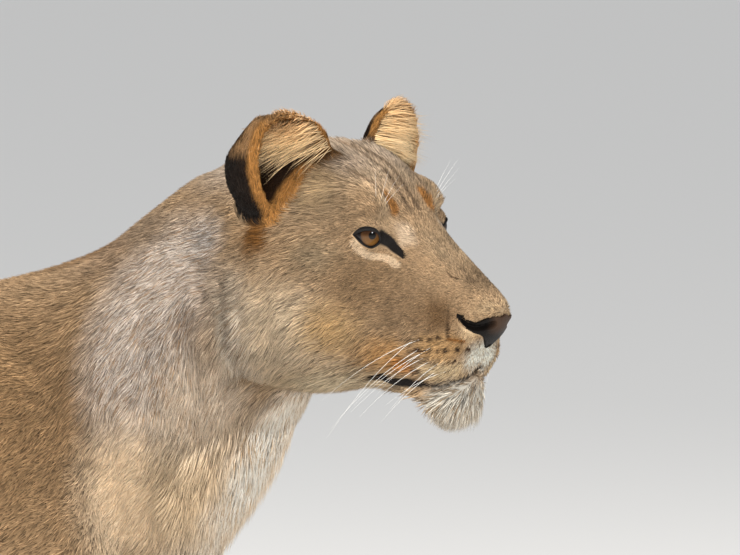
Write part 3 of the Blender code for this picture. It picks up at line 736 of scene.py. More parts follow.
def near_path(points, path):
    """How far each point is from a path, and how far along it that is, from 0 to 1."""
    rows = catmull(path, 5)
    starts, ways = rows[:-1], np.diff(rows, axis=0)
    away = points[:, None, :] - starts[None]
    share = np.clip((away * ways).sum(2) / (ways**2).sum(1), 0, 1)
    gaps = np.linalg.norm(away - share[:, :, None] * ways, axis=2)
    nearest = gaps.argmin(1)
    along = nearest + np.take_along_axis(share, nearest[:, None], 1)[:, 0]
    return gaps.min(1), along / len(ways)


def groove(points, path, reach, move, narrowing=0.0):
    """Presses in the points near the path. narrowing takes that share off towards its end."""
    side = side_sign(points[:, 1])
    left = folded(points)
    close = close_to(left, np.mean(path, axis=0), (0.09, 0.09, 0.09))
    gap, along = near_path(left[close], path)
    strength = 1 - narrowing * along
    share = np.clip(1 - (gap / (reach * strength)) ** 2, 0, 1) ** 2 * strength
    shift = share[:, None] * np.array(move)
    shift[:, 1] *= side[close]
    points = points.copy()
    points[close] += shift
    return points


# %% [markdown]
# The eyes come next. Seen from the middle of the ball, a lid's edge is a curve of directions:
# how far out to the side and how far up. Skin inside the opening drops behind the ball. Skin
# outside it lies on the ball at the edge, and runs out to the face over the width of a lid.

# %% Lids
# Edges of the opening of her left eye: degrees to the side of straight ahead, and upwards.
UPPER_LID = ((-12, -20), (2, 4), (18, 16), (36, 21), (56, 20), (74, 12), (86, 3))
LOWER_LID = ((-12, -20), (2, -32), (18, -41), (36, -38), (56, -27), (74, -9), (86, 3))
LID_STEPS = 8
LID_THICK = 0.0016
LID_WIDTH = 0.013  # over which a lid runs out to the face
NOSE_SIDE = -10  # degrees: from here inwards the lids leave the side of the nose as it is
NOSE_SIDE_FADE = 20
BEHIND = 0.004  # how far behind the ball's surface the hidden skin lies
BEHIND_EYE = -0.012  # skin further back than this has no part in the lids
LAID_REACH = 0.050  # the skin is laid out from the middle of the ball as far as this
LAID_FADE = (0.030, 0.044)  # where the face takes over from it


def lid_directions():
    """The edge of the opening as a closed ring of directions, in head axes, for her left eye."""
    upper, lower = catmull(UPPER_LID, LID_STEPS), catmull(LOWER_LID, LID_STEPS)
    ring = np.radians(np.vstack([upper, lower[-2:0:-1]]))
    out, up = ring.T
    return np.column_stack([np.cos(up) * np.cos(out), np.cos(up) * np.sin(out), np.sin(up)])


def lid_margin(out, up):
    """How far directions lie outside the opening, in degrees. Inside it is negative."""
    upper, lower = catmull(UPPER_LID, LID_STEPS), catmull(LOWER_LID, LID_STEPS)
    top = np.interp(out, upper[:, 0], upper[:, 1])
    bottom = np.interp(out, lower[:, 0], lower[:, 1])
    beyond = np.maximum(upper[0, 0] - out, out - upper[-1, 0])
    gap = np.maximum(up - top, bottom - up)
    ring = np.vstack([upper, lower])
    nearest = np.hypot(out[:, None] - ring[None, :, 0], up[:, None] - ring[None, :, 1]).min(1)
    return np.where((beyond < 0) & (gap < 0), -nearest, nearest)


def side_sign(across):
    return np.where(across < 0, -1.0, 1.0)


def from_eye(left, reach):
    """Folded head points as seen from the middle of the ball: their way and distance from it,
    degrees out to the side and up, and which of them lie within reach and before the ball."""
    around = left - np.array(EYE_AT)
    away = np.linalg.norm(around, axis=1)
    out = np.degrees(np.arctan2(around[:, 1], around[:, 0]))
    up = np.degrees(np.arcsin(np.clip(around[:, 2] / away, -1, 1)))
    close = np.nonzero((away < reach) & (around[:, 0] + around[:, 1] > BEHIND_EYE))[0]
    return around, away, out, up, close


def open_lids(points):
    """Head points with the skin laid round the eyes."""
    side = side_sign(points[:, 1])
    left = folded(points)
    around, away, out, up, close = from_eye(left, LAID_REACH)
    margin = lid_margin(out[close], up[close])
    run = np.clip(np.radians(margin) * EYE_RADIUS / LID_WIDTH, 0, 1)
    run = run * run * (3 - 2 * run)
    edge = EYE_RADIUS + LID_THICK
    beside_nose = faded(out[close], NOSE_SIDE, NOSE_SIDE - NOSE_SIDE_FADE)
    beside_nose *= faded(away[close], edge, edge + 0.006)
    run = np.maximum(np.maximum(run, beside_nose), faded(away[close], *LAID_FADE))
    lid = edge + (away[close] - edge) * run
    lid = np.maximum(lid, edge)
    lid = np.where(margin < 0, EYE_RADIUS - BEHIND, lid)
    left[close] = np.array(EYE_AT) + around[close] * (lid / away[close])[:, None]
    return np.column_stack([left[:, 0], left[:, 1] * side, left[:, 2]])


# Grooves between the toes.
TOE_GAP_REACH = 0.0088
TOE_GAP_MOVE = (-0.0110, 0.0, -0.0085)


def toe_gaps():
    """The path of the groove between each two toes of the paws, in body axes."""
    for leg, ((x, y, z), (long, wide, high), _) in PAW_LUMPS.items():
        for side, mirror in SIDES.items():
            front, top = x + STRIDE[leg, side] + long, z + high
            for k in range(TOES - 1):
                there = (y + (2 * (k + 0.5) / (TOES - 1) - 1) * TOE_SPREAD * wide) * mirror
                yield (
                    (front - 0.050, there, top - 0.006),
                    (front - 0.020, there, top - 0.018),
                    (front, there, top * 0.45),
                    (front - 0.004, there, 0.0),
                )


def part_toes(points):
    """World points with the grooves between the toes pressed in."""
    body = in_body(points)
    for path in toe_gaps():
        close = close_to(body, path[1], (0.08, 0.03, 0.09))
        gap, _ = near_path(body[close], path)
        share = np.clip(1 - (gap / TOE_GAP_REACH) ** 2, 0, 1) ** 2
        body[close] += share[:, None] * np.array(TOE_GAP_MOVE)
    return moved(body, BODY)


set_points(skin, part_toes(points_of(skin)))
head_points = carve(in_head(points_of(skin)), BROAD_STROKES)
head_points = carve(head_points, FINE_STROKES)
head_points = groove(head_points, LIP_PATH, *LIP_GROOVE)
head_points = groove(head_points, PHILTRUM_PATH, *PHILTRUM_GROOVE)
face = soft(folded(head_points), (0.20, 0.03, 0.02), (0.14, 0.10, 0.16), 0.4)
head_points = relax(head_points, edges_of(skin), 0.4 * face, 2)
full_form = moved(head_points, HEAD)  # of the coat's outside, before the skin goes in under it
set_points(skin, full_form)
print("carved:", len(BROAD_STROKES) + len(FINE_STROKES), "strokes on each side")

# %% [markdown]
# The leather of the nose is a patch of the skin's own shape, taken before the coat's depth goes
# off, so that it stands as high as the fur round it. Its upper edge runs from the tip back
# along each wing, and its lower edge comes down to the groove of the lip. The nostrils run from
# the front out along the wings.

# %% Nose leather
# The edges of the leather: how far to the side, and how far up its two edges are there.
LEATHER_EDGES = (
    (0.0000, -0.0005, -0.0375),
    (0.0050, -0.0035, -0.0345),
    (0.0150, -0.0027, -0.0250),
    (0.0210, -0.0044, -0.0216),
    (0.0270, -0.0088, -0.0192),
    (0.0315, -0.0062, -0.0150),
    (0.0340, -0.0005, -0.0105),
    (0.0358, 0.0012, -0.0040),
)
LEATHER_REAR = 0.2640
LEATHER_THICK = 0.0030
NOSTRIL_REACH = 0.0050
NOSTRIL_MOVE = (-0.0065, -0.0024, 0.0016)
NOSTRIL_NARROWS = 0.35


def leather_depth(left):
    """How far folded head points lie inside the edge of the leather, in metres, or below 0."""
    side, top, bottom = np.transpose(LEATHER_EDGES)
    under_top = np.interp(left[:, 1], side, top) - left[:, 2]
    over_bottom = left[:, 2] - np.interp(left[:, 1], side, bottom)
    return np.minimum(np.minimum(under_top, over_bottom), left[:, 0] - LEATHER_REAR)


select_faces(skin, leather_depth(folded(in_head(face_middles(skin)))) > 0)
bpy.ops.mesh.duplicate()
bpy.ops.mesh.separate(type="SELECTED")
bpy.ops.object.mode_set(mode="OBJECT")
leather = next(obj for obj in bpy.context.selected_objects if obj is not skin)
leather.name = "nose_leather"
apply_modifier(leather, "SMOOTH", factor=0.5, iterations=4)
nostril = (NOSTRIL_PATH, NOSTRIL_REACH, NOSTRIL_MOVE, NOSTRIL_NARROWS)
nose_points = groove(in_head(points_of(leather)), *nostril)
nose_points = groove(nose_points, PHILTRUM_PATH, *LEATHER_GROOVE)
set_points(leather, moved(nose_points, HEAD))
apply_modifier(leather, "SOLIDIFY", thickness=LEATHER_THICK, offset=-1.0)
leather.data.shade_smooth()
print("nose leather:", len(leather.data.polygons), "faces")

# %% [markdown]
# Coat and colour both vary over her with soft borders. A patch gives a value inside an oval of
# the body's or the head's axes, fading over the outer share of the oval. Patches are laid over
# each other like paint. The same two tables serve the skin and every tuft, so they agree.

# %% Patches
Patch = namedtuple("Patch", "middle reach value edge", defaults=(1.0,))
WAVES = 7  # how many are added up for smooth random numbers


def waves(points, length, seed):
    """Smooth random numbers about 0, as a sum of waves of about this length."""
    rng = np.random.default_rng(seed)
    total = np.zeros(len(points))
    for _ in range(WAVES):
        way = rng.normal(size=3)
        way *= rng.uniform(0.7, 1.5) / np.linalg.norm(way)
        total += np.sin(points @ way * (2 * pi / length) + rng.uniform(0, 2 * pi))
    return total / sqrt(WAVES)


def laid(points, base, body_patches, head_patches, ragged=0.0):
    """The value of each point under the patches. ragged makes their borders uneven."""
    shift = np.stack([waves(points, 0.020, 60 + k) for k in range(3)], 1) * ragged
    body = folded(in_body(points) + shift)
    head = folded(in_head(points) + shift)
    value = np.tile(np.array(base, float), (len(points), 1))
    for place, patches in ((body, body_patches), (head, head_patches)):
        for patch in patches:
            share = soft(place, patch.middle, patch.reach, patch.edge)[:, None]
            value = value * (1 - share) + np.array(patch.value, float) * share
    return value


# %% [markdown]
# The coat is short and close on the face, legs and paws, longer on the neck, and shaggy on the
# throat, chest and belly. Each patch gives how deep the coat is, how long and wide its tufts
# are and how far apart they stand, all in millimetres.

# %% The coat's depth and length
# depth, length, width, spacing
COAT_BASE = (7.0, 22.0, 2.1, 4.4)
COAT_BODY = (
    Patch((0.50, 0.00, 0.88), (0.40, 0.35, 0.34), (5.5, 9.5, 1.00, 1.98), 0.4),  # shoulders
    Patch((0.66, 0.00, 0.92), (0.24, 0.30, 0.28), (7.0, 16.0, 1.05, 1.98), 0.5),  # neck
    Patch((0.00, 0.00, 0.50), (0.50, 0.15, 0.10), (11.0, 38.0, 2.7, 4.9), 0.8),  # belly
    Patch((0.63, 0.00, 0.72), (0.16, 0.11, 0.20), (13.0, 40.0, 1.4, 2.5), 0.7),  # chest
    Patch((0.54, 0.13, 0.24), (0.22, 0.14, 0.32), (5.0, 14.0, 2.0, 4.3), 0.4),  # forelegs
    Patch((-0.52, 0.13, 0.22), (0.24, 0.14, 0.32), (5.0, 14.0, 2.0, 4.3), 0.4),  # hind legs
    Patch((-0.84, 0.04, 0.50), (0.14, 0.20, 0.50), (5.5, 17.0, 1.8, 3.6), 0.3),  # tail
    Patch((0.57, 0.12, 0.03), (0.16, 0.10, 0.10), (2.6, 5.5, 1.05, 2.3), 0.3),  # forepaws
    Patch((-0.48, 0.12, 0.03), (0.16, 0.10, 0.10), (2.6, 5.5, 1.05, 2.3), 0.3),  # hind paws
    Patch((-0.88, 0.07, 0.18), (0.14, 0.12, 0.14), (11.0, 30.0, 1.6, 2.9), 0.4),  # tail tuft
)
COAT_HEAD = (
    Patch((0.02, 0.00, 0.03), (0.22, 0.22, 0.22), (5.0, 12.0, 0.90, 1.60), 0.5),  # back of head
    Patch((0.03, 0.10, -0.07), (0.11, 0.09, 0.10), (9.0, 24.0, 1.05, 1.85), 0.6),  # ruff
    Patch((-0.02, 0.03, -0.20), (0.13, 0.12, 0.13), (13.0, 38.0, 1.30, 2.3), 0.7),  # throat
    Patch((0.17, 0.00, 0.06), (0.11, 0.16, 0.16), (3.2, 6.0, 0.65, 1.12), 0.5),  # face
    Patch((0.24, 0.00, 0.01), (0.09, 0.09, 0.13), (2.2, 3.4, 0.56, 0.95), 0.5),  # muzzle
    Patch((0.125, 0.00, -0.10), (0.10, 0.07, 0.06), (9.0, 20.0, 1.10, 1.9), 0.7),  # under the jaw
    Patch((0.245, 0.00, -0.112), (0.058, 0.052, 0.044), (8.0, 22.0, 0.80, 1.2), 0.5),  # chin
    Patch((0.181, 0.052, 0.068), (0.036, 0.036, 0.032), (1.6, 3.0, 0.50, 0.90), 0.5),  # lids
    Patch((0.118, 0.066, 0.118), (0.030, 0.030, 0.050), (4.0, 19.0, 0.80, 1.5), 0.7),  # by the ear
)
COAT_EAR = (1.5, 7.5, 0.85, 1.65)
MILLI = 0.001


def coat_of(points):
    """depth, length, width and spacing of the coat, in metres, for each point."""
    coat = laid(points, COAT_BASE, COAT_BODY, COAT_HEAD)
    share = ear_share(points)[:, None]
    return (coat * (1 - share) + np.array(COAT_EAR) * share) * MILLI


# %% [markdown]
# The skin goes inwards by the coat's depth, so that the tips of the coat reach the outline of
# the solids. The way in is smoothed first, or the folds under the jaw would cross themselves.
# Then the lids are opened, as their place is set by the eyes and not by the coat, and the
# soles are flattened on the floor.

# %% Under the coat
NOSE_SINK = 0.0065  # how much deeper the skin lies under the leather of the nose
STEADY_FROM, STEADY_OVER = 0.004, 0.006  # the way in is smoothed where the coat is deeper
STEADY_SHARE, STEADY_ROUNDS = 0.6, 12


def normals_of(obj):
    return read(obj.data.vertex_normals, "vector", 3).astype(float)


inwards = -normals_of(skin) * coat_of(full_form)[:, :1]
thick = coat_of(full_form)[:, 0]
steady = np.clip((thick - STEADY_FROM) / STEADY_OVER, 0, 1) * STEADY_SHARE
inwards = relax(inwards, edges_of(skin), steady, STEADY_ROUNDS)
under_leather = faded(leather_depth(folded(in_head(full_form))), 0.0, 0.002)
inwards -= normals_of(skin) * (under_leather * NOSE_SINK)[:, None]
under = in_head(full_form + inwards)
under = open_lids(under)
under = moved(under, HEAD)
under[:, 2] = np.maximum(under[:, 2], 0.0)
set_points(skin, under)
print("skin lies", round(float(np.linalg.norm(inwards, axis=1).max()) * 1000, 1), "mm in at most")

# %% [markdown]
# One unwrap of the skin's own shape serves the skin and the coat: each tuft later takes its
# place on the map from the skin at its root.

# %% Unwrap of the skin
UNWRAP_ANGLE = radians(66)
ISLAND_GAP = 0.002

skin.data.uv_layers.new(name="OFBake")
edit_all(skin, bpy.ops.uv.smart_project, angle_limit=UNWRAP_ANGLE, island_margin=ISLAND_GAP)
skin.data.shade_smooth()
print("unwrapped", len(skin.data.polygons), "triangles")

# %% [markdown]
# Her colours, from her tawny back to a white chin. A lioness is warm grey-brown where dark and
# light hairs mix, golden where they don't, silver along the neck, and nearly black on the
# backs of her ears, her lips and the tip of her tail.

# %% Colours of the coat
TAWNY = (0.40, 0.270, 0.155)
WARM_BROWN = (0.315, 0.196, 0.098)
BACK_BROWN = (0.350, 0.215, 0.110)
FACE_BROWN = (0.295, 0.192, 0.104)
ORANGE = (0.52, 0.300, 0.125)
RUST = (0.26, 0.105, 0.025)
CREAM = (0.80, 0.620, 0.42)
PALE_GOLD = (0.58, 0.435, 0.285)
WHITE = (0.78, 0.730, 0.640)
SILVER = (0.58, 0.505, 0.440)
GREY_BROWN = (0.24, 0.165, 0.105)
DARK_BROWN = (0.070, 0.038, 0.020)
BLACK = (0.010, 0.008, 0.007)

TINT_BODY = (
    Patch((0.00, 0.00, 0.98), (0.75, 0.10, 0.16), BACK_BROWN, 0.8),
    Patch((0.00, 0.10, 0.72), (0.55, 0.15, 0.16), (0.370, 0.244, 0.135), 0.8),
    Patch((0.00, 0.00, 0.50), (0.60, 0.14, 0.13), WHITE, 0.7),
    Patch((-0.45, 0.02, 0.55), (0.16, 0.09, 0.24), WHITE, 0.6),
    Patch((0.50, 0.02, 0.50), (0.14, 0.10, 0.20), WHITE, 0.6),
    Patch((0.52, 0.14, 0.22), (0.20, 0.12, 0.30), PALE_GOLD, 0.8),
    Patch((-0.52, 0.14, 0.20), (0.20, 0.12, 0.28), PALE_GOLD, 0.8),
    Patch((0.57, 0.12, 0.02), (0.16, 0.10, 0.08), CREAM, 0.8),
    Patch((-0.47, 0.12, 0.02), (0.16, 0.10, 0.08), CREAM, 0.8),
    Patch((0.46, 0.15, 0.83), (0.28, 0.14, 0.30), WARM_BROWN, 0.8),
    Patch((0.60, 0.00, 1.04), (0.22, 0.060, 0.10), (0.335, 0.215, 0.120), 0.8),
    Patch((0.60, 0.06, 1.02), (0.16, 0.060, 0.07), (0.330, 0.225, 0.140), 0.9),
    Patch((0.655, 0.11, 0.90), (0.085, 0.10, 0.15), SILVER, 0.6),
    Patch((0.64, 0.10, 0.76), (0.085, 0.09, 0.13), (0.82, 0.640, 0.440), 0.7),
    Patch((0.70, 0.08, 0.80), (0.060, 0.08, 0.12), (0.54, 0.415, 0.270), 0.8),
    Patch((0.69, 0.00, 0.70), (0.12, 0.080, 0.22), (0.52, 0.475, 0.410), 0.6),
    Patch((0.78, 0.00, 0.78), (0.16, 0.075, 0.20), (0.84, 0.800, 0.720), 0.9),
    Patch((0.50, 0.00, 1.02), (0.26, 0.060, 0.06), (0.255, 0.142, 0.062), 0.8),
    Patch((-0.85, 0.05, 0.50), (0.14, 0.20, 0.50), TAWNY, 0.3),
    Patch((-0.88, 0.07, 0.17), (0.13, 0.12, 0.12), DARK_BROWN, 0.4),
    Patch((-0.92, 0.09, 0.15), (0.09, 0.08, 0.08), BLACK, 0.6),
)
TINT_HEAD = (
    Patch((0.08, 0.00, 0.04), (0.20, 0.20, 0.18), TAWNY, 0.4),
    Patch((0.02, 0.03, 0.15), (0.16, 0.12, 0.07), (0.415, 0.335, 0.262), 0.8),
    Patch((-0.055, 0.10, 0.025), (0.085, 0.060, 0.105), SILVER, 0.8),
    Patch((-0.110, 0.075, 0.072), (0.065, 0.050, 0.038), (0.310, 0.222, 0.145), 0.8),
    Patch((-0.010, 0.095, 0.066), (0.040, 0.040, 0.040), (0.50, 0.450, 0.410), 0.9),
    Patch((-0.02, 0.09, -0.11), (0.09, 0.07, 0.09), (0.70, 0.590, 0.470), 0.8),
    Patch((-0.03, 0.02, -0.20), (0.12, 0.12, 0.11), (0.70, 0.530, 0.345), 0.8),
    Patch((0.02, 0.00, -0.20), (0.14, 0.066, 0.14), (0.84, 0.800, 0.720), 0.55),
    Patch((0.08, 0.10, -0.03), (0.10, 0.07, 0.09), (0.63, 0.500, 0.350), 0.7),
    Patch((0.03, 0.10, -0.03), (0.05, 0.06, 0.10), (0.56, 0.490, 0.400), 0.8),
    Patch((0.145, 0.09, -0.02), (0.05, 0.05, 0.05), (0.55, 0.365, 0.178), 0.9),
    Patch((0.12, 0.05, -0.10), (0.11, 0.07, 0.06), (0.59, 0.480, 0.325), 0.7),
    Patch((0.11, 0.07, 0.12), (0.07, 0.06, 0.07), (0.290, 0.206, 0.125), 0.8),
    Patch((0.15, 0.02, 0.14), (0.07, 0.05, 0.05), (0.405, 0.300, 0.198), 0.9),
    Patch((0.125, 0.03, 0.150), (0.05, 0.045, 0.030), (0.43, 0.330, 0.240), 0.9),
    Patch((0.125, 0.085, 0.055), (0.045, 0.040, 0.030), (0.325, 0.240, 0.148), 0.9),
    Patch((0.18, 0.07, 0.03), (0.07, 0.05, 0.05), FACE_BROWN, 0.8),
    Patch((0.215, 0.05, 0.010), (0.06, 0.04, 0.05), (0.285, 0.188, 0.106), 0.9),
    Patch((0.190, 0.06, -0.050), (0.045, 0.04, 0.036), ORANGE, 0.8),
    Patch((0.225, 0.012, 0.060), (0.06, 0.024, 0.05), (0.355, 0.250, 0.150), 0.9),
    Patch((0.262, 0.008, 0.030), (0.032, 0.020, 0.022), (0.170, 0.114, 0.066), 1.0),
    Patch((0.243, 0.040, -0.004), (0.038, 0.028, 0.036), (0.175, 0.100, 0.046), 1.0),
    Patch((0.252, 0.044, -0.034), (0.040, 0.03, 0.020), (0.43, 0.265, 0.122), 0.6),
    Patch((0.250, 0.036, -0.058), (0.040, 0.03, 0.018), (0.64, 0.490, 0.300), 0.8),
    Patch((0.286, 0.012, 0.006), (0.026, 0.028, 0.012), (0.46, 0.330, 0.195), 1.0),
    Patch((0.274, 0.028, -0.020), (0.014, 0.016, 0.014), (0.66, 0.480, 0.290), 0.7),
    Patch((0.276, 0.010, -0.046), (0.024, 0.024, 0.026), (0.62, 0.615, 0.550), 0.7),
    Patch((0.255, 0.012, -0.102), (0.052, 0.056, 0.040), (0.52, 0.480, 0.410), 0.4),
    Patch((0.176, 0.036, 0.100), (0.022, 0.022, 0.034), (0.50, 0.360, 0.220), 0.8),
    Patch((0.196, 0.030, 0.075), (0.017, 0.013, 0.020), (0.56, 0.430, 0.300), 0.6),
    # The lower beard is darker: partly its own darker hair, partly painted shade under the chin.
    Patch((0.248, 0.000, -0.137), (0.060, 0.056, 0.026), (0.34, 0.305, 0.250), 0.8),
    Patch((0.1765, 0.0285, 0.1055), (0.016, 0.0100, 0.021), (0.40, 0.185, 0.055), 0.5),
    Patch((0.060, 0.102, 0.074), (0.024, 0.030, 0.030), (0.22, 0.098, 0.026), 0.7),
    # Painted shadow under the jaw, in brown.
    Patch((0.030, 0.075, -0.076), (0.030, 0.040, 0.020), (0.36, 0.235, 0.120), 1.0),
    Patch((0.116, 0.066, 0.122), (0.028, 0.028, 0.048), (0.46, 0.330, 0.190), 0.9),
)
# Stripes are rows of hair of one colour: a path, how wide they are to each side, and the colour.
Stripe = namedtuple("Stripe", "path width value edge", defaults=(0.8,))
UNDER_EYE_PATH = (
    (0.1610, 0.0730, 0.0690),
    (0.1655, 0.0680, 0.0615),
    (0.1695, 0.0630, 0.0570),
    (0.1735, 0.0558, 0.0545),
    (0.1800, 0.0496, 0.0535),
    (0.1880, 0.0462, 0.0510),
    (0.1955, 0.0435, 0.0465),
)
# The bare dark streak that runs from the inner corner of the eye towards the nose.
STREAK_PATH = (
    (0.1775, 0.0500, 0.0745),
    (0.1830, 0.0430, 0.0690),
    (0.1890, 0.0415, 0.0634),
    (0.1955, 0.0400, 0.0585),
    (0.1995, 0.0395, 0.0550),
)
# The dark gap between the lips, where it lies on the skin.
LIP_LINE = (
    (0.2665, 0.0000, -0.0585),
    (0.2635, 0.0040, -0.0603),
    (0.2592, 0.0138, -0.0666),
    (0.2526, 0.0220, -0.0696),
    (0.2438, 0.0258, -0.0739),
    (0.2318, 0.0270, -0.0762),
    (0.2200, 0.0298, -0.0750),
    (0.2070, 0.0335, -0.0745),
)
STREAK_WIDE = 0.0096  # half its width at the eye
STREAK_NARROWS = 0.64
MOUTH_CORNER_PATH = (
    (0.1724, 0.0393, -0.0706),
    (0.1805, 0.0348, -0.0740),
    (0.1903, 0.0323, -0.0755),
    (0.2010, 0.0305, -0.0755),
    (0.2110, 0.0300, -0.0750),
    (0.2200, 0.0300, -0.0745),
)
STRIPES = (
    Stripe(
        (
            (0.093, 0.001, 0.160),
            (0.131, 0.008, 0.147),
            (0.158, 0.006, 0.128),
            (0.185, 0.007, 0.097),
        ),
        0.0054,
        (0.150, 0.098, 0.060),
        1.0,
    ),
    Stripe(
        ((0.137, 0.043, 0.139), (0.159, 0.036, 0.125), (0.173, 0.035, 0.110)),
        0.004,
        GREY_BROWN,
    ),
    Stripe(
        ((0.256, 0.037, 0.005), (0.255, 0.038, -0.010), (0.258, 0.040, -0.025)),
        0.0028,
        DARK_BROWN,
    ),
    Stripe(
        ((0.258, 0.039, -0.026), (0.264, 0.0345, -0.0268), (0.269, 0.029, -0.028)),
        0.0026,
        RUST,
    ),
    Stripe(
        ((0.243, 0.024, 0.0404), (0.249, 0.024, 0.0357), (0.2555, 0.021, 0.0338)),
        0.0012,
        DARK_BROWN,
    ),
    Stripe(UNDER_EYE_PATH, 0.0050, (0.66, 0.500, 0.335), 0.4),
    Stripe(LIP_LINE, 0.0036, (0.030, 0.025, 0.022), 0.5),
    Stripe(PHILTRUM_PATH, 0.0016, BLACK, 0.6),
    Stripe(MOUTH_CORNER_PATH, 0.0062, BLACK, 0.3),
)
# Painted shade in the crease between the jaw and the neck.
NECK_CREASE_SHADE = Stripe(
    (
        (0.020, 0.110, 0.034),
        (0.028, 0.111, -0.015),
        (0.040, 0.108, -0.044),
        (0.041, 0.086, -0.066),
        (0.030, 0.050, -0.088),
    ),
    0.0080,
    (0.120, 0.072, 0.038),
    1.0,
)
# Painted shade in the grooves between the toes: its colour, how strong it is, and where it fades.
TOE_GAP_SHADE = (0.150, 0.095, 0.055)
TOE_GAP_SHARE = 0.7
TOE_GAP_FADE = (0.0055, 0.0015)
PAW_PAINT_HEIGHT = 0.12
INNER_LIP = Patch((0.203, 0.046, -0.0570), (0.022, 0.016, 0.0130), (0.40, 0.175, 0.050), 0.6)
LIP_SMUDGE = Patch((0.219, 0.044, -0.0600), (0.010, 0.012, 0.0055), DARK_BROWN, 0.8)
LIP_SPOT = Patch((0.266, 0.004, -0.0600), (0.003, 0.004, 0.0030), (0.13, 0.075, 0.030), 0.6)
# Rows of dark whisker roots on the pads: a path along each row, and how many.
WHISKER_ROWS = (
    (((0.2165, 0.053, -0.0275), (0.2377, 0.051, -0.0268), (0.2485, 0.045, -0.0245)), 4),
    (((0.2268, 0.052, -0.0379), (0.2503, 0.049, -0.0372), (0.2700, 0.023, -0.0360)), 7),
    (((0.2342, 0.051, -0.0470), (0.2490, 0.049, -0.0487), (0.2615, 0.034, -0.0480)), 6),
    (((0.2440, 0.043, -0.0600), (0.2600, 0.030, -0.0570), (0.2690, 0.014, -0.0500)), 4),
)
SPOT_RADIUS = (0.0021, 0.0022, 0.0015, 0.0009)  # in each row


def whisker_spots():
    """The place of each dark root, and its size."""
    spots, sizes = [], []
    for (path, count), size in zip(WHISKER_ROWS, SPOT_RADIUS):
        rows = catmull(path, 20)
        spots += list(rows[np.linspace(0, len(rows) - 1, count).astype(int)])
        sizes += [size] * count
    return np.array(spots), np.array(sizes)


def streak_share(left):
    """1 on the bare streak before the eye and 0 off it, for folded head points."""
    share = np.zeros(len(left))
    close = close_to(left, (0.188, 0.044, 0.064), (0.03, 0.03, 0.03))
    gap, along = near_path(left[close], STREAK_PATH)
    share[close] = faded(gap, STREAK_WIDE * (1 - STREAK_NARROWS * along), 0.002)
    return np.clip(share * 2, 0, 1)


def painted(tint, share, value):
    return tint * (1 - share[:, None]) + np.array(value) * share[:, None]


def dabbed(tint, places, patch):
    return painted(tint, soft(places, patch.middle, patch.reach, patch.edge), patch.value)


def striped(tint, places, stripe):
    gap, _ = near_path(places, stripe.path)
    return painted(tint, np.clip((1 - gap / stripe.width) / stripe.edge, 0, 1), stripe.value)


def tint_of(points):
    """The colour of her coat at each point, with painted shade behind and under the jaw, under the
    chin and between the toes.
    """
    tint = laid(points, TAWNY, TINT_BODY, TINT_HEAD, ragged=0.0016)
    place = folded(in_head(points))
    near = close_to(place, (0.19, 0.03, 0.02), (0.16, 0.10, 0.20))
    face, close = tint[near], place[near]
    for patch in (INNER_LIP, LIP_SMUDGE):
        face = dabbed(face, close, patch)
    for stripe in STRIPES:
        face = striped(face, close, stripe)
    face = dabbed(face, close, LIP_SPOT)
    spots, sizes = whisker_spots()
    gap = (np.linalg.norm(close[:, None] - spots[None], axis=2) / sizes).min(1)
    face = painted(face, faded(gap, 1.5, 1.1), DARK_BROWN)
    tint[near] = painted(face, streak_share(close), BLACK)
    # Painted shade in the crease between the jaw and the neck.
    near = close_to(place, (0.03, 0.09, -0.03), (0.05, 0.06, 0.09))
    tint[near] = striped(tint[near], place[near], NECK_CREASE_SHADE)
    body = in_body(points)
    paws = np.nonzero(body[:, 2] < PAW_PAINT_HEIGHT)[0]
    # Painted shade in the grooves between the toes.
    for path in toe_gaps():
        gap, _ = near_path(body[paws], path)
        share = TOE_GAP_SHARE * faded(gap, *TOE_GAP_FADE)
        tint[paws] = painted(tint[paws], share, TOE_GAP_SHADE)
    return ear_tint(points, tint)


# %% [markdown]
# An ear has its own pattern: black on the back, a golden rim, and a hollow painted near black as
# its shade, with pale hair at its front edge. Its own axes tell back from hollow: the cup opens
# along its x.

# %% Colours of the ears
EAR_GOLD = (0.38, 0.180, 0.050)
# The inside of the cup is painted near black: painted shade of the hollow.
EAR_HOLLOW_SHADE = (0.032, 0.016, 0.008)
EAR_BACK_TIP = (0.30, 0.168, 0.074)
EAR_TIP_BROWN = (0.22, 0.128, 0.060)


def ear_tint(points, tint):
    share = ear_share(points)[:, None]
    for side in SIDES:
        own, shell = in_ear(points, side)
        close = np.nonzero(shell < 1.3)[0]
        own, shell = own[close], shell[close]
        depth, half, high = EAR_HALF
        outside = faded(shell, 0.93, 0.97)
        at_head = faded(-own[:, 1] * SIDES[side] / half, 0.1, 0.5)
        at_head *= faded(own[:, 2] / high, 0.4, 0.1)
        rim = faded(own[:, 0] / depth, -0.16, -0.06) * (1 - 0.7 * at_head)
        # Painted shade inside the cup, and black on its outside.
        value = painted(np.tile(EAR_HOLLOW_SHADE, (len(close), 1)), outside, BLACK)
        value = painted(value, outside * faded(own[:, 2] / high, 0.34, 0.54), EAR_BACK_TIP)
        value = painted(value, rim, EAR_GOLD)
        value = painted(value, faded(own[:, 2] / high, 0.80, 0.95), EAR_TIP_BROWN)
        tint[close] = tint[close] * (1 - share[close]) + value * share[close]
    return tint


def store_tint(obj, tint):
    layer = obj.data.color_attributes.new("tint", "FLOAT_COLOR", "POINT")
    layer.data.foreach_set("color", np.column_stack([tint, np.ones(len(tint))]).ravel())


def store_values(obj, name, values):
    layer = obj.data.attributes.new(name, "FLOAT", "POINT")
    layer.data.foreach_set("value", values.astype(np.float32))


skin_tint = tint_of(points_of(skin))
store_tint(skin, skin_tint)
store_values(skin, "moist", streak_share(folded(in_head(points_of(skin)))))
print("painted", len(skin_tint), "points with", len(TINT_BODY) + len(TINT_HEAD), "patches")
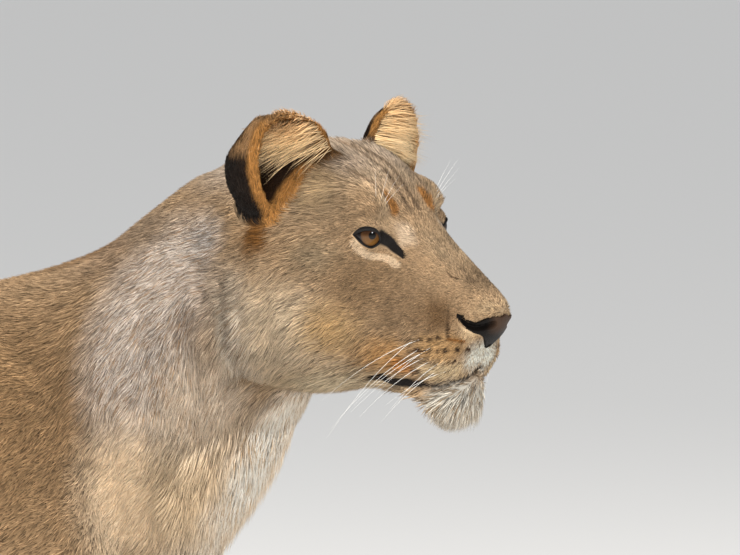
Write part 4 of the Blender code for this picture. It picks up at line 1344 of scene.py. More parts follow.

# %% [markdown]
# Materials are written as sums and products of sockets. One small class wraps a socket: an
# operator on it adds a Math node, and colours go through Mix.

# %% Sockets as numbers
class Finish:
    """A material being built, with its Principled BSDF at hand."""

    def __init__(self, name, **values):
        self.material = bpy.data.materials.new(name)
        self.material.use_nodes = True
        self.tree = self.material.node_tree
        self.shader = self.tree.nodes["Principled BSDF"]
        for socket, value in values.items():
            self.shader.inputs[socket.replace("_", " ")].default_value = value

    def node(self, kind, settings=None, **inputs):
        """Adds a node. Its inputs are named with _ for a space, or with n and a number."""
        made = self.tree.nodes.new("ShaderNode" + kind)
        for key, value in (settings or {}).items():
            setattr(made, key, value)
        for key, value in inputs.items():
            number = key[1:] if key[0] == "n" and key[1:].isdigit() else None
            socket = made.inputs[int(number) if number else key.replace("_", " ")]
            self.feed(socket, value)
        return made

    def feed(self, socket, value):
        if isinstance(value, Socket):
            self.tree.links.new(value.socket, socket)
        else:
            socket.default_value = value

    def out(self, made, name=0):
        return Socket(self, made.outputs[name])

    def set(self, socket, value):
        self.feed(self.shader.inputs[socket], value)

    def mix(self, share, first, second, blend="MIX"):
        settings = {"data_type": "RGBA", "blend_type": blend}
        made = self.node("Mix", settings, n0=share, n6=first, n7=second)
        return self.out(made, 2)

    def attribute(self, name, output="Fac"):
        return self.out(self.node("Attribute", {"attribute_name": name}), output)

    def place(self):
        return self.out(self.node("TexCoord"), "Object")

    def noise(self, scale, detail=2.0):
        made = self.node("TexNoise", Vector=self.place(), Scale=scale, Detail=detail)
        return self.out(made, "Fac")

    def bump(self, height, distance, strength=1.0):
        made = self.node("Bump", Height=height, Distance=distance, Strength=strength)
        self.set("Normal", self.out(made))


class Socket:
    """A node's output that can be added to, multiplied and so on."""

    def __init__(self, finish, socket):
        self.finish = finish
        self.socket = socket

    def math(self, operation, first, second):
        made = self.finish.node("Math", {"operation": operation}, n0=first, n1=second)
        return self.finish.out(made)

    def __radd__(self, other):
        return self.math("ADD", other, self)

    def __rsub__(self, other):
        return self.math("SUBTRACT", other, self)

    def __mul__(self, other):
        return self.math("MULTIPLY", self, other)

    def __rmul__(self, other):
        return self.math("MULTIPLY", other, self)


def wear(obj, *finishes):
    """Gives obj these materials and no others."""
    obj.data.materials.clear()
    for finish in finishes:
        obj.data.materials.append(finish.material)


# %% [markdown]
# The skin under the coat shows between the tufts. It has their colours, darkened a little as
# light gets lost between hairs, with a fine grain of hair roots in its bump.

# %% The skin's finish
hide = Finish("skin_and_underfur", Specular_IOR_Level=0.2)
skin_paint = hide.attribute("tint", "Color")
grain = hide.noise(900.0, 3.0)
shade = 0.55 + 0.5 * grain
grey = hide.out(hide.node("CombineColor", n0=shade, n1=shade, n2=shade))
hide.set("Base Color", hide.mix(1.0, skin_paint, grey, "MULTIPLY"))
wet = hide.attribute("moist")
hide.set("Roughness", 0.85 - 0.40 * wet)
hide.bump(grain, 0.0012, 0.8)
wear(skin, hide)
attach(skin, "root")
FLESH = [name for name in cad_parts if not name.startswith(("eye", "nose"))]
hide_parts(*FLESH)
print("the skin stands for", len(FLESH), "solids of flesh")

# %% [markdown]
# The leather is pebbled and slightly moist. It is black at the wings and a warm dark brown on
# its front.

# %% The leather's finish
nose_finish = Finish("nose_leather", Specular_IOR_Level=0.12)
pebbles = nose_finish.node("TexVoronoi", {"feature": "F1"}, Vector=nose_finish.place(), Scale=900.0)
pebble = nose_finish.out(pebbles, "Distance")
nose_tone = nose_finish.noise(60.0)
leather_points = folded(in_head(points_of(leather)))
front = faded(leather_points[:, 0], 0.2860, 0.2960) * faded(leather_points[:, 1], 0.020, 0.012)
store_values(leather, "on_front", front)
warm = nose_finish.attribute("on_front")
warm = warm * (0.6 + nose_tone * 0.8)
nose_colour = nose_finish.mix(warm, (0.004, 0.003, 0.0025, 1), (0.045, 0.025, 0.015, 1))
nose_finish.set("Base Color", nose_colour)
nose_finish.set("Roughness", 0.38 + 0.25 * nose_tone)
nose_finish.bump(1 - pebble, 0.0005, 0.7)
wear(leather, nose_finish)
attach(leather, "root")
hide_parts("nose")

# %% [markdown]
# An eye is a ball with a clear bulge over the iris. The ball's poles are turned to her gaze,
# so that rings of its faces run round the pupil. Each point keeps how far it lies from the gaze as
# an attribute, from which the finish draws pupil, iris and dark rim. A second one keeps how low it
# lies, from which the finish paints the shade of the upper lid over the top of the iris.

# %% Eyes
GAZE = {"left": (0.90, 0.42, 0.0), "right": (0.90, -0.44, 0.0)}
IRIS_ANGLE = 36.5  # degrees from the middle of the pupil to the rim of the iris
PUPIL_ANGLE = 12.0
CORNEA_BULGE = 0.0012
EYE_BALL = {"segments": 96, "ring_count": 64}


def eye_piece(side):
    node = "eye_" + side
    centre = middle_of(node)
    bpy.ops.mesh.primitive_uv_sphere_add(radius=EYE_RADIUS, **EYE_BALL)
    eye = bpy.context.active_object
    eye.name = "eyeball_" + side
    points = points_of(eye)
    angle = np.degrees(np.arccos(np.clip(points[:, 2] / EYE_RADIUS, -1, 1)))
    bulge = np.clip(1 - (angle / (IRIS_ANGLE * 1.15)) ** 2, 0, 1) * CORNEA_BULGE
    set_points(eye, points * (1 + bulge / EYE_RADIUS)[:, None])
    store_values(eye, "from_gaze", angle)
    gaze = HEAD.to_3x3() @ Vector(GAZE[side])
    aim = gaze.to_track_quat("Z", "Y").to_matrix().to_4x4()
    eye.data.transform(Matrix.Translation(centre) @ aim)
    # 0 high on the ball and 1 low on it: the finish paints the upper lid's shade over the iris from
    #                                     it
    low = faded(points_of(eye)[:, 2] - centre.z, 0.0022, -0.0095)
    store_values(eye, "low", low)
    eye.data.shade_smooth()
    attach(eye, "root")
    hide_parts(node)
    return eye


def step(value, start, end):
    """0 before start, 1 after end, and straight between them."""
    made = value.finish.node("MapRange", Value=value, From_Min=start, From_Max=end)
    return value.finish.out(made)


iris = Finish("eye", Roughness=0.4, Specular_IOR_Level=0.05)
iris.set("Coat Weight", 0.4)
iris.set("Coat Roughness", 0.02)
iris.set("Coat IOR", 1.6)
angle = iris.attribute("from_gaze")
low = iris.attribute("low")
fibres = iris.noise(900.0, 3.0)
# Painted shade of the upper lid: the iris is near black at its top and amber lower down, and its
# paler fibres show only below
amber = iris.mix(low, (0.030, 0.013, 0.006, 1), (0.130, 0.055, 0.010, 1))
amber = iris.mix(fibres * low * 0.5, amber, (0.22, 0.105, 0.024, 1))
amber = iris.mix(step(angle, IRIS_ANGLE - 9, IRIS_ANGLE), amber, (0.045, 0.020, 0.008, 1))
edge = step(angle, IRIS_ANGLE + 8, IRIS_ANGLE + 26)
white = iris.mix(edge, (0.006, 0.005, 0.005, 1), (0.040, 0.026, 0.018, 1))
colour = iris.mix(step(angle, IRIS_ANGLE - 2.0, IRIS_ANGLE + 1.0), amber, white)
colour = iris.mix(step(angle, PUPIL_ANGLE - 1, PUPIL_ANGLE + 1), (0.002, 0.002, 0.002, 1), colour)
iris.set("Base Color", colour)
for side in SIDES:
    wear(eye_piece(side), iris)
print("eyes: iris", round(2 * EYE_RADIUS * sin(radians(IRIS_ANGLE)) * 1000, 1), "mm across")

# %% [markdown]
# The rims of the lids are bare and black, and run on from the inner corner as the dark streak
# of a big cat. Each rim is a closed tube along the edge of the opening, thicker at that corner
# and along the upper lid.

# %% Rims of the lids
RIM_RADIUS = 0.0011
RIM_AROUND = 10


def ring_tube(name, path, radii):
    """A tube along a closed path of points."""
    path = np.array(path)
    ahead = np.roll(path, -1, 0) - np.roll(path, 1, 0)
    ahead /= np.linalg.norm(ahead, axis=1)[:, None]
    out = path - path.mean(0)
    out -= ahead * (out * ahead).sum(1)[:, None]
    out /= np.linalg.norm(out, axis=1)[:, None]
    up = np.cross(ahead, out)
    points, faces = [], []
    for k in range(RIM_AROUND):
        turn = 2 * pi * k / RIM_AROUND
        points.append(path + (out * cos(turn) + up * sin(turn)) * np.array(radii)[:, None])
    points = np.stack(points, 1).reshape(-1, 3)
    for r in range(len(path)):
        here, onward = r * RIM_AROUND, (r + 1) % len(path) * RIM_AROUND
        for k in range(RIM_AROUND):
            beside = (k + 1) % RIM_AROUND
            faces.append((here + k, onward + k, onward + beside, here + beside))
    return new_object(name, points, faces)


rim_finish = Finish("lid_rim", Roughness=0.4, Specular_IOR_Level=0.25)
rim_finish.set("Base Color", (0.008, 0.007, 0.007, 1))
rim_finish.bump(rim_finish.noise(1500.0), 0.0004)
for side, mirror in SIDES.items():
    edge = lid_directions() * (EYE_RADIUS + LID_THICK * 0.55) + np.array(EYE_AT)
    over = faded(edge[:, 2] - EYE_AT[2], 0.001, 0.006)
    inner = np.clip(1 - np.linalg.norm(edge - edge[0], axis=1) / 0.012, 0, 1)
    radii = RIM_RADIUS * (1 + 0.9 * inner + 1.2 * over)
    rim = ring_tube("lid_rim_" + side, edge * (1, mirror, 1), radii)
    rim.data.transform(HEAD)
    edit_all(rim, bpy.ops.mesh.normals_make_consistent, inside=False)
    rim.data.shade_smooth()
    wear(rim, rim_finish)
    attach(rim, "root")
print("lid rims:", len(edge), "points round each")

# %% [markdown]
# The coat is solid tufts of hair, which the export keeps, as it drops particle hair. A plain
# tuft is a long thin pyramid of four faces that lies along the skin. Where the coat is shaggy
# a tuft has a bend in it and ten faces. Roots are spread over the skin's triangles at random,
# as many to each as the spacing there asks for. numpy does this, since no operator could place
# three hundred thousand tufts.

# %% Roots
rng = np.random.default_rng(20)
THINNER = 1.0

triangles = read(skin.data.polygons, "vertices", 3, np.int32)
skin_points = points_of(skin)
skin_normals = normals_of(skin)
bake_map = skin.data.uv_layers["OFBake"]
corner_uv = read(bake_map.uv, "vector", 2).reshape(-1, 3, 2)


class Roots:
    """Places on the skin: a point, the normal there and a place on the unwrap, for each tuft."""

    def __init__(self, point, normal, uv):
        self.point, self.normal, self.uv = point, normal, uv

    def kept(self, chosen):
        return Roots(self.point[chosen], self.normal[chosen], self.uv[chosen])


def scattered(spacing):
    """Roots over all of the skin, as close as spacing (one for each triangle) says."""
    a, b, c = skin_points[triangles].transpose(1, 0, 2)
    area = np.linalg.norm(np.cross(b - a, c - a), axis=1) / 2
    count = np.floor(area / (spacing * THINNER) ** 2 + rng.random(len(area))).astype(int)
    face = np.repeat(np.arange(len(area)), count)
    first, second = np.sqrt(rng.random(len(face))), rng.random(len(face))
    weight = np.column_stack([1 - first, first * (1 - second), first * second])
    normal = np.einsum("nk,nkc->nc", weight, skin_normals[triangles[face]])
    return Roots(
        np.einsum("nk,nkc->nc", weight, skin_points[triangles[face]]),
        normal / np.linalg.norm(normal, axis=1)[:, None],
        np.einsum("nk,nkc->nc", weight, corner_uv[face]),
    )


# %% [markdown]
# Some of her is bare: the eyes' openings, the dark streak before them, the nose, the gap of
# the lips and the soles.

# %% Bare places
LID_BARE = 5.0  # degrees round the opening of the eye
LID_MARGIN_REACH = 0.034
LIP_BARE = 0.0019
MOUTH_CORNER_BARE = 0.0050
SOLE_BARE = 0.004  # height over the floor


def lid_margin_of(left):
    """How far folded head points lie outside the opening of the eye, in degrees."""
    _, _, out, up, close = from_eye(left, LID_MARGIN_REACH)
    margin = np.full(len(left), 90.0)
    margin[close] = lid_margin(out[close], up[close])
    return margin


def bare_share(points, normals):
    left = folded(in_head(points))
    bare = (lid_margin_of(left) < LID_BARE) | (leather_depth(left) > 0)
    bare |= streak_share(left) > 0.3
    close = close_to(left, np.mean(LIP_LINE, axis=0), (0.07,) * 3)
    for path, width in ((LIP_LINE, LIP_BARE), (MOUTH_CORNER_PATH, MOUTH_CORNER_BARE)):
        bare[close] |= near_path(left[close], path)[0] < width
    bare |= (points[:, 2] < SOLE_BARE) & (normals[:, 2] < -0.5)
    return bare


# %% [markdown]
# Hair lies in streams: back over the nose and the crown, down the cheeks and neck, down the
# legs, out along the toes and the tail. Patches give the streams too. Their direction is then
# laid flat on the skin, and a slow wave turns it a little, so that locks form.

# %% Streams of the hair
FLOW_BASE = (-1.0, 0.10, -0.35)
FLOW_BODY = (
    Patch((0.00, 0.00, 0.98), (0.90, 0.12, 0.12), (-1.0, 0.05, -0.05)),
    Patch((0.63, 0.12, 0.88), (0.17, 0.16, 0.22), (-0.32, 0.05, -0.95)),
    Patch((0.68, 0.02, 0.74), (0.17, 0.12, 0.24), (0.03, 0.02, -1.0)),
    Patch((0.50, 0.15, 0.75), (0.14, 0.12, 0.22), (-0.60, 0.0, -0.80)),
    Patch((0.00, 0.00, 0.50), (0.50, 0.15, 0.10), (-1.0, 0.10, -0.20)),
    Patch((-0.45, 0.12, 0.68), (0.20, 0.15, 0.20), (-0.60, 0.0, -0.80)),
    Patch((0.52, 0.13, 0.30), (0.20, 0.14, 0.34), (-0.20, 0.0, -1.0), 0.5),
    Patch((-0.48, 0.13, 0.28), (0.26, 0.14, 0.34), (-0.20, 0.0, -1.0), 0.5),
    Patch((0.60, 0.12, 0.04), (0.13, 0.10, 0.09), (0.85, 0.0, -0.5), 0.7),
    Patch((-0.46, 0.12, 0.04), (0.13, 0.10, 0.09), (0.85, 0.0, -0.5), 0.7),
)
FLOW_HEAD = (
    Patch((0.06, 0.00, 0.04), (0.20, 0.20, 0.18), (-1.0, 0.20, -0.15)),
    Patch((0.10, 0.00, 0.17), (0.14, 0.08, 0.07), (-1.0, 0.05, 0.25)),
    Patch((0.08, 0.10, 0.00), (0.08, 0.08, 0.10), (-0.75, 0.20, -0.70)),
    Patch((0.05, 0.09, -0.05), (0.09, 0.08, 0.09), (-0.35, 0.10, -0.95)),
    Patch((-0.03, 0.10, -0.08), (0.08, 0.08, 0.12), (-0.05, 0.05, -1.0)),
    Patch((0.00, 0.02, -0.16), (0.10, 0.10, 0.09), (0.12, 0.0, -1.0)),
    Patch((0.12, 0.00, -0.11), (0.12, 0.08, 0.06), (-0.80, 0.10, -0.60)),
    Patch((0.19, 0.06, 0.03), (0.06, 0.05, 0.05), (-0.90, 0.30, -0.30)),
    Patch((0.23, 0.02, 0.06), (0.08, 0.03, 0.06), (-1.0, 0.10, 0.40)),
    Patch((0.17, 0.045, 0.105), (0.035, 0.03, 0.030), (-0.60, 0.40, 0.60)),
    Patch((0.245, 0.04, -0.04), (0.05, 0.04, 0.04), (-0.85, 0.40, -0.30)),
    Patch((0.285, 0.01, -0.045), (0.025, 0.03, 0.03), (-0.25, 0.60, -0.75)),
    Patch((0.245, 0.00, -0.115), (0.06, 0.06, 0.04), (-0.10, 0.20, -1.0), 0.5),
)
LOCK_LENGTH = 0.030  # length of the slow wave
LOCK_TURN = 0.22


def unit(rows):
    return rows / np.maximum(np.linalg.norm(rows, axis=1), 1e-9)[:, None]


def flow_of(roots):
    points, normals = roots.point, roots.normal
    flow = laid(points, FLOW_BASE, FLOW_BODY, FLOW_HEAD)
    head, body = in_head(points), in_body(points)
    side = np.where(head[:, 0] > -0.15, head[:, 1], body[:, 1])
    flow[:, 1] *= side_sign(side)
    path = moved(catmull(TAIL_PATH, 5), BODY)
    along = unit(np.gradient(path, axis=0))
    on_tail = np.nonzero(body[:, 0] < -0.66)[0]
    nearest = np.linalg.norm(points[on_tail, None] - path[None], axis=2).argmin(1)
    flow[on_tail] = along[nearest]
    for name, mirror in SIDES.items():
        eye = np.array(HEAD @ Vector((EYE_AT.x, EYE_AT.y * mirror, EYE_AT.z)))
        share = soft(points, eye, (0.045, 0.045, 0.045))[:, None] * 0.8
        flow = flow * (1 - share) + unit(points - eye) * share
        _, shell = in_ear(points, name)
        share = (ear_share(points) * (shell < 1.3))[:, None]
        up_ear = np.array(ear_place(name).to_3x3() @ Vector((0.35, 0.0, 1.0)))
        flow = flow * (1 - share) + up_ear * share
    flow = unit(flow)
    sideways = np.cross(normals, flow)
    flow = flow + sideways * (waves(points, LOCK_LENGTH, 5) * LOCK_TURN)[:, None]
    flow += rng.normal(size=flow.shape) * 0.10
    flow -= normals * (flow * normals).sum(1)[:, None]
    return unit(flow)


# %% [markdown]
# Hairs are banded dark and light, which gives the grizzled look of the face and back. So each
# tuft's colour strays from the patch's: most a little, some much darker, some paler. Hair is
# also darker at its root. White and cream places stay cleaner.

# %% Colours of the tufts
GRIZZLE_DARK = 0.26  # share of the tufts that are much darker
GRIZZLE_PALE = 0.16
DARKER, PALER = 0.44, 1.42  # what their colour is multiplied by
STRAY, PALE_CALM = 0.20, 0.10  # how far a colour strays, and how much less where it is pale
BRIGHTEST = 0.9
TIP_LIGHT = 1.16
ROOT_DARK, ROOT_PALE = 0.66, 0.88  # of a root, where the coat is dark and where it is pale
WIDE_CALM = 0.5  # how much less the widest tufts stray
LONG_CALM = 0.6  # how many fewer dark ones there are in long hair
SILVERED = (0.62, 0.50, 0.38)  # what a brown hair among the silver ones is multiplied by
SILVERED_SHARE = 0.28


def tuft_tints(points, tint, coat):
    """Two colours for each tuft, at its root and at its tip, from the colour of its place."""
    pale = faded(tint.mean(1), 0.43, 0.62)
    silver = faded(1 - tint.min(1) / tint.max(1), 0.44, 0.30)
    pick = rng.random(len(tint))
    stray = np.exp(rng.normal(size=len(tint)) * (STRAY - PALE_CALM * pale))
    stray *= np.exp(0.09 * waves(points, 0.012, 8) + 0.07 * waves(points, 0.04, 9))
    dark = GRIZZLE_DARK * (1 - 0.8 * pale) * (1 - LONG_CALM * faded(coat[:, 1], 0.013, 0.022))
    stray = np.where(pick < dark, stray * DARKER, stray)
    stray = np.where(pick > 1 - GRIZZLE_PALE, stray * PALER, stray)
    stray **= 1 - WIDE_CALM * faded(coat[:, 2], 0.0012, 0.0022)
    tint = tint * stray[:, None] * (1 + 0.12 * silver)[:, None]
    brown = ((pick > 0.4) & (pick < 0.4 + SILVERED_SHARE))[:, None] * silver[:, None]
    tint = tint * (1 - brown * (1 - np.array(SILVERED)))
    root_share = (ROOT_DARK + (ROOT_PALE - ROOT_DARK) * pale)[:, None]
    tip = tint * TIP_LIGHT
    return tint * root_share, tip * np.minimum(BRIGHTEST / tip.max(1), 1)[:, None]


def mesh_of_triangles(name, points, faces, tint, uv):
    """A mesh object from arrays, with a colour for each point and a uv for each corner."""
    mesh = bpy.data.meshes.new(name)
    mesh.vertices.add(len(points))
    mesh.vertices.foreach_set("co", points.astype(np.float32).ravel())
    mesh.loops.add(len(faces) * 3)
    mesh.loops.foreach_set("vertex_index", faces.astype(np.int32).ravel())
    mesh.polygons.add(len(faces))
    mesh.polygons.foreach_set("loop_start", np.arange(0, len(faces) * 3, 3, dtype=np.int32))
    mesh.update(calc_edges=True)
    mesh.uv_layers.new(name="OFBake")
    mesh.uv_layers["OFBake"].uv.foreach_set("vector", uv.astype(np.float32).ravel())
    obj = bpy.data.objects.new(name, mesh)
    bpy.context.scene.collection.objects.link(obj)
    store_tint(obj, tint)
    return obj


PATCH_HALF = 0.0015  # half of a tuft's patch on the unwrap
SINK = 0.0006  # how far a root goes into the skin
RIDGE = 0.30  # height of a tuft, as a share of its width
OFF_FLOOR = 0.0008  # the least height of a tuft's points
LENGTH_STRAY, WIDTH_STRAY, RISE_STRAY = (0.75, 1.20), (0.75, 1.25), (0.55, 1.12)
RISE_LIMITS = (0.10, 0.62)  # of a tip's height off the skin, in tuft lengths
DEPTH_FILLED = 0.92  # share of the coat's depth that the tips reach
BEND_RUN, BEND_HEIGHT, BEND_DROP = 0.48, 0.68, 0.25  # where the bend is, as shares of the tip's

# Points of a tuft: across, up and along it, and its faces. The bent tuft has a ring half way.
SPIKE_FACES = ((0, 2, 3), (2, 1, 3), (1, 0, 3), (0, 1, 2))
BENT_FACES = (
    (0, 2, 5), (0, 5, 3), (2, 1, 4), (2, 4, 5), (1, 0, 3),
    (1, 3, 4), (3, 5, 6), (5, 4, 6), (4, 3, 6), (0, 1, 2),
)
SPIKE_UV = ((-1, -1), (1, -1), (0, -0.4), (0, 1))
BENT_UV = ((-1, -1), (1, -1), (0, -0.6), (-0.6, 0), (0.6, 0), (0, 0.2), (0, 1))


def grow(name, roots, flow, coat, tint, bend, lift=1.0):
    """One piece of coat. bend is how far its tips hang down, in tuft lengths, or None.

    lift is how much more its tufts stand off the skin than its depth says.
    """
    count = len(roots.point)
    depth, length, width = coat[:, 0], coat[:, 1], coat[:, 2]
    length = length * rng.uniform(*LENGTH_STRAY, count)
    width = width * rng.uniform(*WIDTH_STRAY, count)
    rise = np.clip(depth * DEPTH_FILLED / length, *RISE_LIMITS)
    rise = rise * rng.uniform(*RISE_STRAY, count) * lift
    across = np.cross(flow, roots.normal)
    up = roots.normal
    low = roots.point - up * SINK
    half, ridge = (width / 2)[:, None], (width * RIDGE)[:, None]
    run, height = (length * np.sqrt(1 - rise**2))[:, None], (length * rise)[:, None]
    left, right = low - across * half, low + across * half
    top = low + up * (ridge + SINK)
    tip = roots.point + flow * run + up * height
    if bend is None:
        parts, shares = [left, right, top, tip], [0, 0, 0, 1]
        faces, map_shape = SPIKE_FACES, SPIKE_UV
    else:
        middle = roots.point + flow * run * BEND_RUN + up * height * BEND_HEIGHT
        drop = np.array((0.0, 0.0, -1.0)) * (length * bend)[:, None]
        tip = tip + drop
        middle = middle + drop * BEND_DROP
        parts = [
            left, right, top,
            middle - across * half * 0.75, middle + across * half * 0.75,
            middle + up * ridge * 0.8, tip,
        ]
        shares, faces, map_shape = [0, 0, 0, 0.6, 0.6, 0.6, 1], BENT_FACES, BENT_UV
    size = len(parts)
    points = np.stack(parts, 1).reshape(-1, 3)
    points[:, 2] = np.maximum(points[:, 2], OFF_FLOOR)
    corners = (np.array(faces)[None] + (np.arange(count) * size)[:, None, None]).reshape(-1, 3)
    root_tint, tip_tint = tuft_tints(roots.point, tint, coat)
    shares = np.array(shares, float)[None, :, None]
    tint = (root_tint[:, None] * (1 - shares) + tip_tint[:, None] * shares).reshape(-1, 3)
    spot = roots.uv[:, None, :] + np.array(map_shape)[None] * PATCH_HALF
    uv = spot.reshape(-1, 2)[corners.ravel()]
    obj = mesh_of_triangles(name, points, corners, tint, uv)
    wear(obj, hair)
    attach(obj, "root")
    "ear" if "ear" in name else "tail_tuft" if "tuft" in name else "coat"
    return obj


hair = Finish("hair", Roughness=0.62, Specular_IOR_Level=0.25)
hair_tint = hair.attribute("tint", "Color")
hair.set("Base Color", hair_tint)

# %% [markdown]
# Each piece of coat covers one part of her and stays under 200,000 triangles. A root belongs to
# the first part whose test it passes.

# %% The coat, piece by piece
LONG_HAIR = 0.030  # tufts longer than this are bent


def part_labels(points, coat):
    """The name of the coat piece that each root belongs to."""
    head, body = in_head(points), in_body(points)
    side = np.where(head[:, 1] > 0, "left", "right")
    tests = (
        ("ears", ear_share(points) > 0.5),
        ("beard", soft(head, (0.245, 0.0, -0.118), (0.055, 0.050, 0.042), 0.1) > 0.5),
        ("muzzle_", (head[:, 0] > 0.19) & (head[:, 2] > -0.13)),
        ("face_", (head[:, 0] > 0.11) & (head[:, 2] > -0.13)),
        ("tail_tuft", (body[:, 0] < -0.80) & (body[:, 2] < 0.28)),
        ("tail", body[:, 0] < -0.68),
        ("throat", (coat[:, 1] > LONG_HAIR) & (body[:, 0] > 0.45)),
        ("belly", coat[:, 1] > LONG_HAIR),
        ("head_", (head[:, 0] > -0.07) & (head[:, 2] > -0.15)),
        ("neck_", (body[:, 0] > 0.56) & (body[:, 2] > 0.60)),
        ("forelegs", (body[:, 0] > 0.30) & (body[:, 2] < 0.58)),
        ("hind_legs", (body[:, 0] < -0.20) & (body[:, 2] < 0.62)),
        ("shoulders_", body[:, 0] > 0.30),
        ("flanks", body[:, 0] > -0.20),
    )
    labels = np.full(len(points), "haunches", dtype="U24")
    todo = np.ones(len(points), bool)
    for label, test in tests:
        chosen = todo & test
        labels[chosen] = np.char.add(label, side[chosen]) if label.endswith("_") else label
        todo &= ~test
    return labels


BENDS = {"beard": 0.12, "tail_tuft": 0.12, "throat": 0.14, "belly": 0.14}
THROAT_LIFT = 0.6  # how much more the longest hair of the throat stands off
spacing = coat_of(skin_points[triangles].mean(1))[:, 3]
roots = scattered(spacing)
roots = roots.kept(~bare_share(roots.point, roots.normal))
coat = coat_of(roots.point)
flow = flow_of(roots)
tint = tint_of(roots.point)
labels = part_labels(roots.point, coat)
total = 0
for label in np.unique(labels):
    of = labels == label
    name = str(label)
    lift = 1 + THROAT_LIFT * faded(coat[of, 1], LONG_HAIR, 0.040) if name == "throat" else 1.0
    shape = (BENDS.get(name), lift)
    piece = grow("coat_" + name, roots.kept(of), flow[of], coat[of], tint[of], *shape)
    total += len(piece.data.polygons)
    print(piece.name, len(piece.data.polygons), "triangles")

# %% [markdown]
# Long pale hairs grow from the front edge inside each ear and from its roof, and sweep out
# across the opening. They are bent tufts as well, rooted on the inside of the cup.

# %% Hair in the ears
EAR_HAIR = (0.0120, 0.0520, 0.0010)  # depth, length and width
EAR_HAIR_SPACING = 0.0017
SHORTENINGS, SHORTER = 5, 0.7
WALL_AT = 0.90  # how far out in the cup its wall begins
REAR_HALF = -0.10  # the rear of the cup starts here, in cup depths
HAIR_FROM = {"left": (-0.45, -0.10), "right": (0.08, 0.40)}  # how high it starts, as a share
EAR_HAIR_TINTS = ((0.90, 0.680, 0.400), (0.86, 0.600, 0.320), (0.62, 0.370, 0.175))


def ear_hair(side):
    mirror = SIDES[side]
    own, shell = in_ear(skin_points[triangles].mean(1), side)
    near_ear = np.where(shell < 1.1, EAR_HAIR_SPACING, 1.0)
    found = scattered(near_ear)
    own, shell = in_ear(found.point, side)
    depth, half, high = EAR_HALF
    ahead, inwards, rise = own[:, 0] / depth, -own[:, 1] * mirror / half, own[:, 2] / high
    front_edge = faded(inwards, 0.20, 0.50) * faded(ahead, -0.85, -0.45)
    front_edge *= np.maximum(faded(rise, *HAIR_FROM[side]), 0.7 * faded(rise, -0.10, -0.35))
    roof = faded(rise, 0.35, 0.60) * faded(inwards, 0.0, 0.25)
    inside = (shell < 0.91) & (rise > -0.75) & (ahead < 0.2)
    found = found.kept(inside & (rng.random(len(shell)) < np.maximum(front_edge, roof)))
    own = in_ear(found.point, side)[0]
    inwards, rise = -own[:, 1] * mirror / half, own[:, 2] / high
    ones = np.ones(len(rise))
    way = np.column_stack([0.45 * ones, mirror * 0.9 * ones, 0.05 + rise * 0.3])
    way = unit(way @ np.array(ear_place(side).to_3x3()).T + rng.normal(size=way.shape) * 0.12)
    coat = np.tile((*EAR_HAIR, 0.0), (len(rise), 1))
    coat[:, 1] *= (0.40 + 0.60 * faded(inwards, 0.1, 0.7)) * (1 - 0.5 * faded(rise, 0.45, 0.85))
    keys = (-0.1, 0.40, 0.85)
    tint = np.column_stack([np.interp(rise, keys, band) for band in np.transpose(EAR_HAIR_TINTS)])
    flat = unit(way - found.normal * (way * found.normal).sum(1)[:, None] * 0.35)
    for _ in range(SHORTENINGS):  # of hairs that would reach into the rear wall of the ear
        tip, shell = in_ear(found.point + flat * coat[:, 1:2], side)
        coat[(shell > WALL_AT) & (tip[:, 0] < REAR_HALF * depth), 1] *= SHORTER
    return grow("ear_hair_" + side, found, flat, coat, tint, 0.10)


for side in SIDES:
    piece = ear_hair(side)
    total += len(piece.data.polygons)
    print(piece.name, len(piece.data.polygons), "triangles")
print("coat:", total, "triangles")

# %% [markdown]
# Whiskers are long stiff white hairs that grow from the rear spots of each row and sweep back
# and down. Each is a thin tapering tube of five sides along a bow. Shorter ones stand over the
# eyes.

# %% Whiskers
WHISKER_SIDES = 5
WHISKER_STEPS = 9
whisker_rng = np.random.default_rng(7)
skin_tree = BVHTree.FromPolygons(skin_points.tolist(), triangles.tolist())


def bows(starts, ways, lengths, sag, radius):
    """Points and faces of tapering hairs: where each starts, its way, length and sag."""
    steps = np.linspace(0, 1, WHISKER_STEPS)
    points, faces = [], []
    for start, way, length in zip(starts, ways, lengths):
        way = way / np.linalg.norm(way)
        line = start + np.outer(steps * length, way)
        line[:, 2] -= steps**2 * length * sag
        side = np.cross(way, (0.0, 0.0, 1.0))
        side /= np.linalg.norm(side)
        up = np.cross(side, way)
        base = sum(len(p) for p in points)
        for place, step in zip(line, steps):
            size = radius * (1 - 0.85 * step)
            turns = np.arange(WHISKER_SIDES) * 2 * pi / WHISKER_SIDES
            ring = place + size * (np.outer(np.cos(turns), side) + np.outer(np.sin(turns), up))
            points.append(ring)
        for r in range(WHISKER_STEPS - 1):
            for k in range(WHISKER_SIDES):
                beside = (k + 1) % WHISKER_SIDES
                here = base + r * WHISKER_SIDES
                a, b = here + k, here + beside
                faces.append((a, a + WHISKER_SIDES, b + WHISKER_SIDES, b))
        last = base + (WHISKER_STEPS - 1) * WHISKER_SIDES
        faces.append(tuple(base + k for k in range(WHISKER_SIDES)))
        faces.append(tuple(last + k for k in reversed(range(WHISKER_SIDES))))
    return np.vstack(points), faces


def surface_at(left_points, mirror):
    """The skin's points nearest to folded head points, on one side, in the head's axes."""
    found = []
    for f, l, u in left_points:
        place, _, _, _ = skin_tree.find_nearest(HEAD @ Vector((f, l * mirror, u)))
        found.append(HEAD.inverted() @ place)
    return np.array(found)


